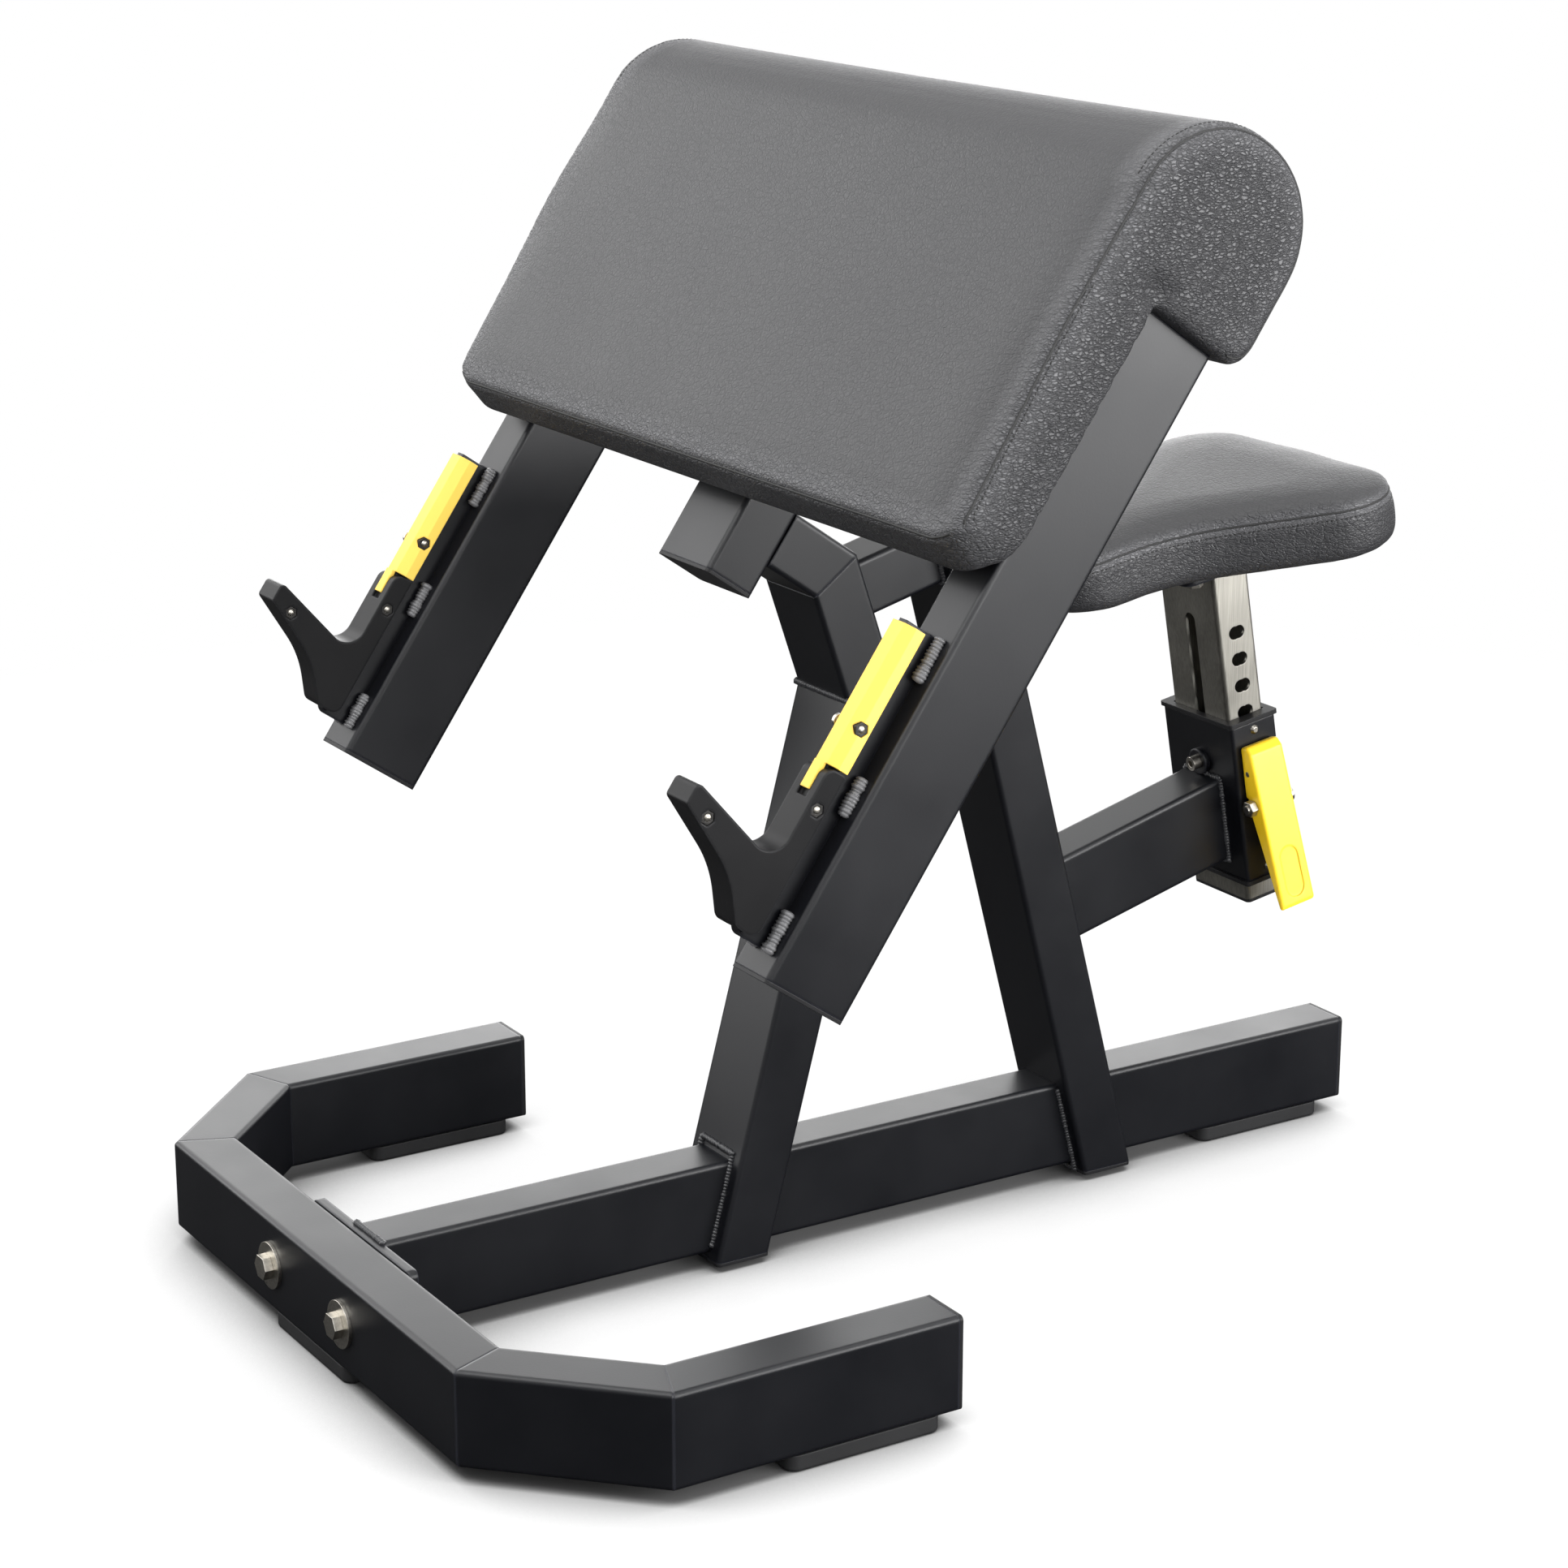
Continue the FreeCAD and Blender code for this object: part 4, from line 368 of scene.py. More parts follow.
FINISH_OF = {
    powder_coat: ["front_cross_tube", "left_corner_tube", "right_corner_tube", "left_leg_tube",
                  "right_leg_tube", "spine_front_tube", "spine_middle_tube", "spine_rear_tube",
                  "spine_flange", "front_post", "elbow_lower", "elbow_upper", "rear_post", "top_strut",
                  "centre_arm", "left_arm", "right_arm", "left_crossbar", "right_crossbar",
                  "left_hook_plate", "right_hook_plate", "seat_arm_tube", "sleeve", "guide_boss",
                  "lever_bracket", "seat_plate"],
    hook_black: ["left_hook_cover", "right_hook_cover"],
    cap_black: ["tube_end_caps", "post_bottom_caps", "post_end_plug", "sleeve_top_bushing",
                "sleeve_bottom_bushing"],
    guard_yellow: ["left_hook_guard", "right_hook_guard"],
    lever_yellow: ["lever"],
    foot_rubber: ["front_foot", "leg_feet", "rear_foot"],
    post_steel: ["seat_post"],
    shade_dark_nut: ["hook_nuts"],
    bolt_steel: ["flange_bolts", "flange_washers", "flange_nuts", "hook_screws", "arm_pad_bolts",
                 "seat_bolts", "bushing_screws", "guide_screw", "lever_pivot_bolt", "lever_pivot_nut",
                 "lever_pull_pin", "lock_plunger"],
    spring_steel: ["lever_spring"],
    board_cloth: ["arm_pad_board", "arm_pad_roll_board", "seat_board"],
    black_vinyl: ["arm_pad", "seat_cushion"],
}
for finish, names in FINISH_OF.items():
    for name in names:
        nodes[name].data.materials.clear()
        nodes[name].data.materials.append(finish)


# Meshes

def mesh_object(name, points, faces, finish):
    mesh = bpy.data.meshes.new(name)
    mesh.from_pydata([tuple(point) for point in points], [], faces)
    mesh.update()
    if finish is not None:
        mesh.materials.append(finish)
    made = bpy.data.objects.new(name, mesh)
    bpy.context.scene.collection.objects.link(made)
    return made


def smooth(piece):
    piece.data.polygons.foreach_set("use_smooth", [True] * len(piece.data.polygons))


def baked(piece):
    """The piece's mesh with its modifiers turned into plain geometry, as they are on this frame."""
    graph = bpy.context.evaluated_depsgraph_get()
    result = bpy.data.meshes.new_from_object(piece.evaluated_get(graph), depsgraph=graph)
    piece.modifiers.clear()
    piece.data = result


def positions(piece):
    flat = np.empty(len(piece.data.vertices) * 3)
    piece.data.vertices.foreach_get("co", flat)
    return flat.reshape(-1, 3)


def set_positions(piece, points):
    piece.data.vertices.foreach_set("co", np.ascontiguousarray(points).ravel())
    piece.data.update()


def unit2(u, v):
    length = math.hypot(u, v)
    return u / length, v / length


def moved_corners(corners, insets):
    """Corners of an outline whose sides are each moved inwards; side n runs from corner n to the next."""
    count = len(corners)
    lines = []
    for index, (u, v, radius) in enumerate(corners):
        next_u, next_v, _ = corners[(index + 1) % count]
        along = unit2(next_u - u, next_v - v)
        lines.append(((u - along[1] * insets[index], v + along[0] * insets[index]), along))
    result = []
    for index, (u, v, radius) in enumerate(corners):
        (point, along), (before, heading) = lines[index], lines[index - 1]
        cross = heading[0] * along[1] - heading[1] * along[0]
        travel = ((point[0] - before[0]) * along[1] - (point[1] - before[1]) * along[0]) / cross
        result.append((before[0] + heading[0] * travel, before[1] + heading[1] * travel, radius))
    return result


def rounded_outline(corners, steps):
    """Points of a closed outline with rounded corners, the same number for every inset of one outline."""
    count = len(corners)
    result = []
    for index, (u, v, radius) in enumerate(corners):
        before, after = corners[index - 1], corners[(index + 1) % count]
        back_length = math.hypot(before[0] - u, before[1] - v)
        ahead_length = math.hypot(after[0] - u, after[1] - v)
        back = unit2(before[0] - u, before[1] - v)
        ahead = unit2(after[0] - u, after[1] - v)
        half = math.acos(max(-1.0, min(1.0, back[0] * ahead[0] + back[1] * ahead[1]))) / 2
        reach = min(max(radius, 1e-4) / math.tan(half), 0.499 * min(back_length, ahead_length))
        start = (u + back[0] * reach, v + back[1] * reach)
        end = (u + ahead[0] * reach, v + ahead[1] * reach)
        for step in range(steps + 1):
            t = step / steps
            weight = math.sin(half)
            k0, k1, k2 = (1 - t) ** 2, 2 * t * (1 - t) * weight, t * t
            total = k0 + k1 + k2
            result.append(((k0 * start[0] + k1 * u + k2 * end[0]) / total,
                           (k0 * start[1] + k1 * v + k2 * end[1]) / total))
    return result


def skinned(name, rings):
    """Closed shell through rings of equally many points, with a face across each end."""
    count = len(rings[0])
    points = [point for ring in rings for point in ring]
    faces = []
    for row in range(len(rings) - 1):
        for index in range(count):
            following = (index + 1) % count
            faces.append((row * count + index, row * count + following,
                          (row + 1) * count + following, (row + 1) * count + index))
    faces.append(tuple(reversed(range(count))))
    faces.append(tuple((len(rings) - 1) * count + index for index in range(count)))
    shell = mesh_object(name, points, faces, black_vinyl)
    work = bmesh.new()
    work.from_mesh(shell.data)
    bmesh.ops.triangulate(work, faces=[face for face in work.faces if len(face.verts) > 4])
    bmesh.ops.recalc_face_normals(work, faces=work.faces)
    work.to_mesh(shell.data)
    work.free()
    return shell


FOAM_FRAMES, FOAM_PRESSURE, EVENING_ROUNDS, SWELL_KEPT = 20, 4.0, 40, 0.6


def padded_form(shell, held, voxel, most):
    """Foam form: the shell is remeshed, then swollen by the cloth's own pressure about its cut shape.

    held(points) gives which points rest on something and stay, and most limits how far the others move.
    """
    cut = shell.copy()
    cut.data = shell.data.copy()
    bpy.context.scene.collection.objects.link(cut)
    remesh = shell.modifiers.new("remesh", "REMESH")
    remesh.mode = "VOXEL"
    remesh.voxel_size = voxel
    wrap = shell.modifiers.new("wrap", "SHRINKWRAP")
    wrap.target = cut
    wrap.wrap_method = "NEAREST_SURFACEPOINT"
    relax = shell.modifiers.new("relax", "SMOOTH")
    relax.factor = 0.5
    relax.iterations = 1
    baked(shell)
    bpy.data.objects.remove(cut)
    points = positions(shell)
    fixed = held(points)
    normals = vertex_normals(shell)
    drawn_in = points - normals * (0.5 * most * (1 - fixed))[:, None]
    set_positions(shell, drawn_in)
    grip = shell.vertex_groups.new(name="held")
    for index in np.nonzero(fixed > 0.5)[0]:
        grip.add([int(index)], 1.0, "REPLACE")
    cloth = shell.modifiers.new("foam", "CLOTH")
    cloth.settings.quality = 4
    cloth.settings.mass = 0.4
    cloth.settings.tension_stiffness = 40
    cloth.settings.compression_stiffness = 40
    cloth.settings.bending_stiffness = 4
    cloth.settings.use_pressure = True
    cloth.settings.uniform_pressure_force = FOAM_PRESSURE
    cloth.settings.vertex_group_mass = "held"
    cloth.settings.effector_weights.gravity = 0
    cloth.collision_settings.use_collision = False
    cloth.collision_settings.use_self_collision = False
    cloth.point_cache.frame_start = 1
    cloth.point_cache.frame_end = FOAM_FRAMES
    for number in range(1, FOAM_FRAMES + 1):
        bpy.context.scene.frame_set(number)
    baked(shell)
    bpy.context.scene.frame_set(1)
    swell = np.einsum("ij,ij->i", positions(shell) - drawn_in, normals)
    swell = evened(shell, most * np.tanh(swell / most), EVENING_ROUNDS)
    swell = SWELL_KEPT * (swell - swell[fixed < 0.5].mean()) * (1 - fixed)
    set_positions(shell, points + normals * swell[:, None])


def vertex_normals(shell):
    flat = np.empty(len(shell.data.vertices) * 3)
    shell.data.vertices.foreach_get("normal", flat)
    return flat.reshape(-1, 3)


def evened(shell, values, rounds):
    """Values on a mesh's points, each averaged with its neighbours' over several rounds."""
    pairs = np.empty(len(shell.data.edges) * 2, dtype=np.int64)
    shell.data.edges.foreach_get("vertices", pairs)
    first, second = pairs[0::2], pairs[1::2]
    count = np.bincount(pairs, minlength=len(values))
    for _ in range(rounds):
        ahead, behind = values[second], values[first]
        total = np.bincount(first, ahead, len(values)) + np.bincount(second, behind, len(values))
        values = 0.5 * values + 0.5 * total / np.maximum(count, 1)
    return values


def finished_form(shell):
    """One subdivision, smooth shading."""
    divide = shell.modifiers.new("divide", "SUBSURF")
    divide.levels = divide.render_levels = 1
    baked(shell)
    shell.data.materials.clear()
    shell.data.materials.append(black_vinyl)
    smooth(shell)


def store(shell, name, values):
    layer = shell.data.attributes.new(name, "FLOAT", "POINT")
    layer.data.foreach_set("value", np.ascontiguousarray(values, dtype=np.float32))


def local(place, points):
    inverse = np.array(place.inverted())
    return points @ inverse[:3, :3].T + inverse[:3, 3]


def apart_from(shell, paths):
    """Distance of a shell's points from the nearest of several paths on it."""
    spots = [point for path in paths for point in finer(path, 0.0015)]
    finder = KDTree(len(spots))
    for index, spot in enumerate(spots):
        finder.insert(spot, index)
    finder.balance()
    return np.array([finder.find(point)[2] for point in positions(shell)])


def pressed(shell, gap, depth, width):
    """Draws the surface in along its sewn lines."""
    sink = depth * np.exp(-(gap / width) ** 2)
    set_positions(shell, positions(shell) - vertex_normals(shell) * sink[:, None])


def painted_edge_highlight(shell, gap, reach):
    """Marks a painted highlight: a pale band along sewn edges, strongest where the edge faces up to the
    light.
    """
    lit = np.clip(0.7 + 2.0 * vertex_normals(shell)[:, 2], 0, 1)
    store(shell, "painted_edge_highlight", np.clip(1.2 - gap / reach, 0, 1) * lit)


def riding(piece, body, slot, *replaced):
    """Ties a piece to a body and hides the solids that it stands for; the slot is not used."""
    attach(piece, body)
    if replaced:
        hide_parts(*replaced)


# Arm pad

PAD_WIDTH, PAD_EDGE, PAD_CORNER = 0.799, 0.0124, 0.036
ROLL_LOW, ROLL_BACK, ROLL_TOP = 0.567, -0.102, 0.7225
PAD_LOW, PAD_THICK = 0.3225, 0.0640
PAD_SIDES = [(0.346, 0.0, 0.010), (ROLL_LOW, 0.0, 0.004), (ROLL_LOW, ROLL_BACK, 0.018),
             (ROLL_TOP, ROLL_BACK, 0.082), (ROLL_TOP, PAD_THICK, 0.082), (0.523, PAD_THICK + 0.004, 0.9),
             (0.334, PAD_THICK - 0.004, 0.011), (PAD_LOW, 0.020, 0.018)]
PAD_DRAWN = [0] + [PAD_EDGE] * 7
SEAM_TURN = 44.0
SECOND_ROW, THIRD_ROW_TURN = 0.0105, 22.0
STEP_AT = 0.572
SEAM_PRESS, ROW_PRESS = (0.0009, 0.0030), (0.0006, 0.0022)
UNDER_BELOW, GRAIN_REACH, HIGHLIGHT_REACH = 0.36, 0.016, 0.022
CREASE_AT, CREASE_DEPTH, CREASE_WIDE = (0.577, 0.006), 0.0060, 0.013
FOLDS = ((55, 0.030, 0.0022), (118, 0.022, 0.0018), (-62, 0.034, 0.0026))
FOLD_WIDE, FOLD_START, TUCK_REACH = 0.0045, 0.006, 0.030


def pad_ring(side, turn, further=0.0, steps=10):
    """Ring round the pad near one end: turn goes from the end panel at 0 to the face at 90 degrees."""
    inset = PAD_EDGE * (1 - math.sin(math.radians(turn)))
    reach = PAD_WIDTH / 2 - PAD_EDGE * (1 - math.cos(math.radians(turn))) - further
    start = PAD_WIDTH / 2 - PAD_CORNER
    lift = PAD_CORNER - math.sqrt(max(0.0, PAD_CORNER ** 2 - max(0.0, reach - start) ** 2))
    shares = [inset / PAD_EDGE * draw for draw in PAD_DRAWN]
    ring = []
    for a, p in rounded_outline(moved_corners(PAD_SIDES, shares), steps):
        low = min(1.0, max(0.0, 1 - (a - PAD_LOW) / (2 * PAD_CORNER)))
        ring.append(arm_at @ Vector((side * reach, a + lift * low, p)))
    return ring


def pad_lines():
    """Main seams of the pad, and the rows of stitches beside them."""
    steps = 24
    corner = steps + 1
    seams, rows = [], []
    for side in SIDES.values():
        seams.append(pad_ring(side, SEAM_TURN, 0.0, steps)[2 * corner:7 * corner - steps // 2])
        further = SECOND_ROW + PAD_EDGE * 0.28 - PAD_EDGE
        upper = pad_ring(side, 90, further, steps)[4 * corner - 4:6 * corner]
        rows.append([point for point in upper if (arm_at.inverted() @ point).y > STEP_AT])
        lower = pad_ring(side, THIRD_ROW_TURN, 0.0, steps)[5 * corner:7 * corner - steps // 2]
        rows.append([point for point in lower if (arm_at.inverted() @ point).y < STEP_AT - 0.004])
    lip = 6 * corner + steps // 2
    left = [pad_ring(-1, 90, step * 0.003, steps)[lip] for step in range(9)]
    right = [pad_ring(1, 90, step * 0.003, steps)[lip] for step in range(9)]
    seams.append(left + right[::-1])
    return seams, rows


def finer(path, most=0.004):
    """Path with points added on its long runs."""
    result = [path[0]]
    for start, end in zip(path, path[1:]):
        count = max(1, round((end - start).length / most))
        result += [start.lerp(end, step / count) for step in range(1, count + 1)]
    return result


def arm_pad():
    """Rolled-over arm cushion with a sewn panel at each end."""
    inner = [(90, step * 0.006) for step in range(1, 6)]
    turns = [(angle, 0.0) for angle in range(0, 91, 10)] + inner
    rings = [pad_ring(-1, *turn) for turn in turns] + [pad_ring(1, *turn) for turn in reversed(turns)]
    pad = skinned("arm_cushion", rings)

    def held(points):
        spot = local(arm_at, points)
        return ((spot[:, 1] < ROLL_LOW + 0.005) & (spot[:, 2] < 0.004)).astype(float)

    padded_form(pad, held, voxel=0.006, most=0.005)
    finished_form(pad)
    seams, rows = pad_lines()
    seams, rows = laid_on(pad, seams), laid_on(pad, rows)
    gap, row_gap = apart_from(pad, seams), apart_from(pad, rows)
    spot = local(arm_at, positions(pad))
    normals = local(arm_at.to_3x3().to_4x4(), vertex_normals(pad))
    sewn_gap = np.minimum(gap, row_gap)
    store(pad, "seam", sewn_gap)
    side_on = np.abs(normals[:, 0])
    under = np.clip(-normals[:, 1], 0, 1) * (spot[:, 1] < UNDER_BELOW)
    near = np.exp(-(sewn_gap / GRAIN_REACH) ** 2)
    # Deep grain on the end panels, near the seams and on low undersides; it also lightens the base colour
    # there, as painted light.
    store(pad, "grain_depth_and_painted_light", np.clip(0.30 + 0.90 * side_on + 0.5 * under + 0.4 * near, 0, 1))
    # Painted highlight along the pad's sewn edges.
    painted_edge_highlight(pad, sewn_gap, HIGHLIGHT_REACH)
    pressed(pad, gap, *SEAM_PRESS)
    pressed(pad, row_gap, *ROW_PRESS)
    end_on = np.clip((np.abs(spot[:, 0]) - PAD_WIDTH / 2 + TUCK_REACH) / TUCK_REACH, 0, 1)
    gathered(pad, spot, end_on)
    riding(pad, "frame", "vinyl", "arm_pad", "arm_pad_roll_board")
    return pad, seams, rows


def gathered(pad, spot, share):
    """Tuck of each end panel where the roll turns in behind the arm, with the folds that run from it."""
    along, out = spot[:, 1] - CREASE_AT[0], spot[:, 2] - CREASE_AT[1]
    reach = np.hypot(along, out)
    sink = CREASE_DEPTH * np.exp(-(reach / CREASE_WIDE) ** 2)
    for angle, length, depth in FOLDS:
        way = math.radians(angle)
        run = along * math.cos(way) + out * math.sin(way)
        off = out * math.cos(way) - along * math.sin(way)
        fold = depth * np.exp(-(off / FOLD_WIDE) ** 2)
        sink += fold * np.clip(run / FOLD_START, 0, 1) * np.clip(1 - run / length, 0, 1)
    points = positions(pad)
    points[:, 0] -= np.sign(spot[:, 0]) * sink * share
    set_positions(pad, points)


# Seat

SEAT_LOW, SEAT_SEAM, SEAT_CROWN, SEAT_DOME = 0.228, 0.049, 0.013, 0.052
SEAT_PLAN = [(-0.072, -0.196, 0.048), (0.072, -0.196, 0.048), (0.060, -0.078, 0.4), (0.189, 0.126, 0.070),
             (0.0, 0.135, 0.4), (-0.189, 0.126, 0.070), (-0.060, -0.078, 0.4)]
SEAT_LEVELS = [(0, 0.011, 0.026), (0.05, 0.005, 0.016), (0.13, 0.001, 0.008), (0.25, -0.001, 0.003),
               (0.42, -0.0018, 0), (0.62, -0.0018, -0.001), (0.82, -0.0012, -0.0005), (1, 0.0005, 0.0005)]
SEAT_TOP = [(0.30, 0.02), (0.52, 0.06), (0.66, 0.13), (0.78, 0.25), (0.90, 0.5), (1, 1)]
SEAT_PUCKER, SEAT_HIGHLIGHT_REACH, SEAT_ROW_PRESS = 2.5, 0.008, (0.0005, 0.0020)


def seat_ring(height, inset, front):
    outline = rounded_outline(moved_corners(SEAT_PLAN, [front] + [inset] * 6), 14)
    return [column_at @ Vector((x, t, SEAT_LOW + height)) for x, t in outline]


def seat_cushion():
    """Seat wide behind and narrow in front, with a sewn edge just under its top."""
    rings = [seat_ring(SEAT_SEAM * up, side, front) for up, side, front in SEAT_LEVELS]
    rings += [seat_ring(SEAT_SEAM + SEAT_CROWN * up, SEAT_DOME * side, SEAT_DOME * side)
              for up, side in SEAT_TOP]
    seat = skinned("seat_pad", rings)

    def held(points):
        return (local(column_at, points)[:, 2] < SEAT_LOW + 0.004).astype(float)

    padded_form(seat, held, voxel=0.0045, most=0.003)
    finished_form(seat)
    edge = seat_ring(SEAT_SEAM * 0.97, 0.0005, 0.0005)
    below = seat_ring(SEAT_SEAM * 0.85, -0.002, -0.001)
    seams, rows = laid_on(seat, [edge + edge[:1]]), laid_on(seat, [below + below[:1]])
    gap, row_gap = apart_from(seat, seams), apart_from(seat, rows)
    normals = local(column_at.to_3x3().to_4x4(), vertex_normals(seat))
    store(seat, "seam", SEAT_PUCKER * np.minimum(gap, row_gap))
    # Deeper grain on the seat's sides than on its top; it also lightens the sides' base colour, as painted
    # light.
    store(seat, "grain_depth_and_painted_light", np.clip(0.95 - 0.65 * normals[:, 2], 0, 0.58))
    # Painted highlight along the seat's sewn edge.
    painted_edge_highlight(seat, gap, SEAT_HIGHLIGHT_REACH)
    pressed(seat, gap, *SEAM_PRESS)
    pressed(seat, row_gap, *SEAT_ROW_PRESS)
    riding(seat, "seat", "vinyl", "seat_cushion")
    return seat, seams, rows


# Rows that follow a path

def geometry_group(name, inputs):
    """Empty Geometry Nodes tree with named inputs and a finish, its input node and its output node."""
    tree = bpy.data.node_groups.new(name, "GeometryNodeTree")
    face = tree.interface
    face.new_socket("Geometry", in_out="INPUT", socket_type="NodeSocketGeometry")
    for label, kind, value in inputs:
        face.new_socket(label, in_out="INPUT", socket_type=kind).default_value = value
    face.new_socket("Finish", in_out="INPUT", socket_type="NodeSocketMaterial")
    face.new_socket("Geometry", in_out="OUTPUT", socket_type="NodeSocketGeometry")
    return tree, tree.nodes.new("NodeGroupInput"), tree.nodes.new("NodeGroupOutput")


def end_tree(tree, geometry, given, result):
    """Makes a tree's instances real, in the finish that it is given."""
    solid = add_node(tree, "GeometryNodeRealizeInstances", {"Geometry": geometry})
    dressed = add_node(tree, "GeometryNodeSetMaterial", {
        "Geometry": solid.outputs[0], "Material": given.outputs["Finish"]})
    tree.links.new(dressed.outputs[0], result.inputs[0])
    return tree


def make_row_tree():
    """Beads set one after another along every path of a mesh of edges."""
    inputs = [("Spacing", FLOAT, 0.003), ("Radius", FLOAT, 0.002), ("Length", FLOAT, 0.5),
              ("Variation", FLOAT, 0.1), ("Seed", "NodeSocketInt", 7)]
    tree, given, result = geometry_group("row_along_path", inputs)
    paths = add_node(tree, "GeometryNodeMeshToCurve", {0: given.outputs["Geometry"]})
    steps = add_node(tree, "GeometryNodeResampleCurve", {
        "Curve": paths.outputs[0], "Length": given.outputs["Spacing"]}, mode="LENGTH")
    bead = add_node(tree, "GeometryNodeMeshUVSphere", {
        "Segments": 6, "Rings": 4, "Radius": given.outputs["Radius"]})
    drawn = add_node(tree, "ShaderNodeCombineXYZ", {0: 1.0, 1: 1.0, 2: given.outputs["Length"]})
    shaped = add_node(tree, "GeometryNodeTransform", {
        "Geometry": bead.outputs["Mesh"], "Scale": drawn.outputs[0]})
    shaded = add_node(tree, "GeometryNodeSetShadeSmooth", {"Geometry": shaped.outputs[0]})
    tangent = tree.nodes.new("GeometryNodeInputTangent")
    turned = add_node(tree, "FunctionNodeAlignRotationToVector", {"Vector": tangent.outputs[0]}, axis="Z")
    least = add_node(tree, "ShaderNodeMath", {0: 1.0, 1: given.outputs["Variation"]}, operation="SUBTRACT")
    greatest = add_node(tree, "ShaderNodeMath", {0: 1.0, 1: given.outputs["Variation"]}, operation="ADD")
    sizes = add_node(tree, "FunctionNodeRandomValue", data_type="FLOAT")
    tree.links.new(least.outputs[0], sizes.inputs[2])
    tree.links.new(greatest.outputs[0], sizes.inputs[3])
    tree.links.new(given.outputs["Seed"], sizes.inputs["Seed"])
    row = add_node(tree, "GeometryNodeInstanceOnPoints", {
        "Points": steps.outputs[0], "Instance": shaded.outputs[0],
        "Rotation": turned.outputs[0], "Scale": sizes.outputs[1]})
    return end_tree(tree, row.outputs[0], given, result)


def make_cord_tree():
    """Thin round cord along every path of a mesh of edges."""
    tree, given, result = geometry_group("cord_along_path", [("Radius", FLOAT, 0.0006)])
    paths = add_node(tree, "GeometryNodeMeshToCurve", {0: given.outputs["Geometry"]})
    section = add_node(tree, "GeometryNodeCurvePrimitiveCircle", {"Resolution": 6,
                                                                  "Radius": given.outputs["Radius"]})
    swept = add_node(tree, "GeometryNodeCurveToMesh", {
        "Curve": paths.outputs[0], "Profile Curve": section.outputs[0], "Fill Caps": True})
    shaded = add_node(tree, "GeometryNodeSetShadeSmooth", {"Geometry": swept.outputs[0]})
    return end_tree(tree, shaded.outputs[0], given, result)


row_tree = make_row_tree()
cord_tree = make_cord_tree()


def along_paths(name, tree, paths, finish, **sizes):
    """Plain mesh of what a tree sets along paths, each a list of points."""
    points, edges = [], []
    for path in paths:
        first = len(points)
        points += [tuple(point) for point in path]
        edges += [(first + index, first + index + 1) for index in range(len(path) - 1)]
    mesh = bpy.data.meshes.new(name)
    mesh.from_pydata(points, edges, [])
    row = bpy.data.objects.new(name, mesh)
    bpy.context.scene.collection.objects.link(row)
    modifier = row.modifiers.new("row", "NODES")
    modifier.node_group = tree
    inputs = {item.name: item.identifier for item in tree.interface.items_tree
              if item.in_out == "INPUT" and item.name != "Geometry"}
    for label, value in sizes.items():
        modifier[inputs[label.title()]] = value
    modifier[inputs["Finish"]] = finish
    baked(row)
    return row


# Welds

def loop(centre, across, half_across, up, half_up):
    """Closed rectangular path about a centre."""
    corners = [centre + across * (half_across * i) + up * (half_up * j)
               for i, j in ((-1, -1), (1, -1), (1, 1), (-1, 1))]
    return corners + corners[:1]


def weld_paths():
    """Fillet welds round every joint of the frame's tubes."""
    front_up, rear_up, elbow_up = lean(POST_LEAN), lean(-POST_LEAN), lean(-ELBOW_LEAN)
    arm_out = (arm_at.to_3x3() @ Z_AXIS).normalized()
    arm_up = (arm_at.to_3x3() @ Y_AXIS).normalized()
    front_foot, rear_foot = side_point(FRONT_FOOT, SPINE_MID), side_point(REAR_FOOT, SPINE_MID)
    knee = front_foot + front_up * ((KNEE_HEIGHT - SPINE_MID) / front_up.z)
    bend = knee + elbow_up * (ELBOW_RISE / elbow_up.z)
    half_wide, half_tall = TUBE_WIDE / 2, TUBE_TALL / 2
    paths = []
    across = rearward((front_up + elbow_up).normalized())
    paths.append(loop(knee, X_AXIS, half_tall, across, half_wide / math.cos(front_up.angle(elbow_up) / 2)))
    for foot, up in ((front_foot, front_up), (rear_foot, rear_up)):
        for way in (-1, 1):
            centre = foot + rearward(up) * (half_wide * way)
            paths.append(loop(centre, X_AXIS, half_wide, up, half_tall / up.z))
    strut_start = bend - elbow_up * STRUT_BELOW_BEND
    strut_way = rearward(rear_up)
    elbow_back = rearward(elbow_up)
    elbow_meet = strut_start + strut_way * (half_wide / (strut_way.dot(elbow_back)))
    rear_face = rear_foot - rearward(rear_up) * half_wide
    rear_meet = strut_start + strut_way * ((rear_face - strut_start).dot(strut_way))
    paths.append(loop(elbow_meet, X_AXIS, half_wide, elbow_up, STRUT_HALF / strut_way.dot(elbow_back)))
    paths.append(loop(rear_meet, X_AXIS, half_wide, rear_up, STRUT_HALF))
    behind = rear_foot + rearward(rear_up) * half_wide
    seat_start = behind + rear_up * ((SEAT_ARM_HEIGHT - behind.z) / rear_up.z)
    paths.append(loop(seat_start, X_AXIS, half_wide, rear_up, half_tall))
    sleeve_front = column_at @ Vector((0, -SLEEVE_HALF, 0))
    sleeve_back = column_at.to_3x3() @ Y_AXIS
    reach = (sleeve_front - seat_start).dot(sleeve_back) / strut_way.dot(sleeve_back)
    column_up = column_at.to_3x3() @ Z_AXIS
    paths.append(loop(seat_start + strut_way * reach, X_AXIS, half_wide, column_up,
                      half_tall / strut_way.dot(sleeve_back)))
    paths.append(loop(side_point(SPINE_START, SPINE_MID), X_AXIS, half_wide, Z_AXIS, half_tall))
    for way in SIDES.values():
        for x in (half_tall, ARM_SPREAD - half_wide):
            centre = arm_at @ Vector((way * x, CROSSBAR_UP, -CROSSBAR_HALF))
            paths.append(loop(centre, arm_up, CROSSBAR_HALF, arm_out, CROSSBAR_HALF))
    return paths


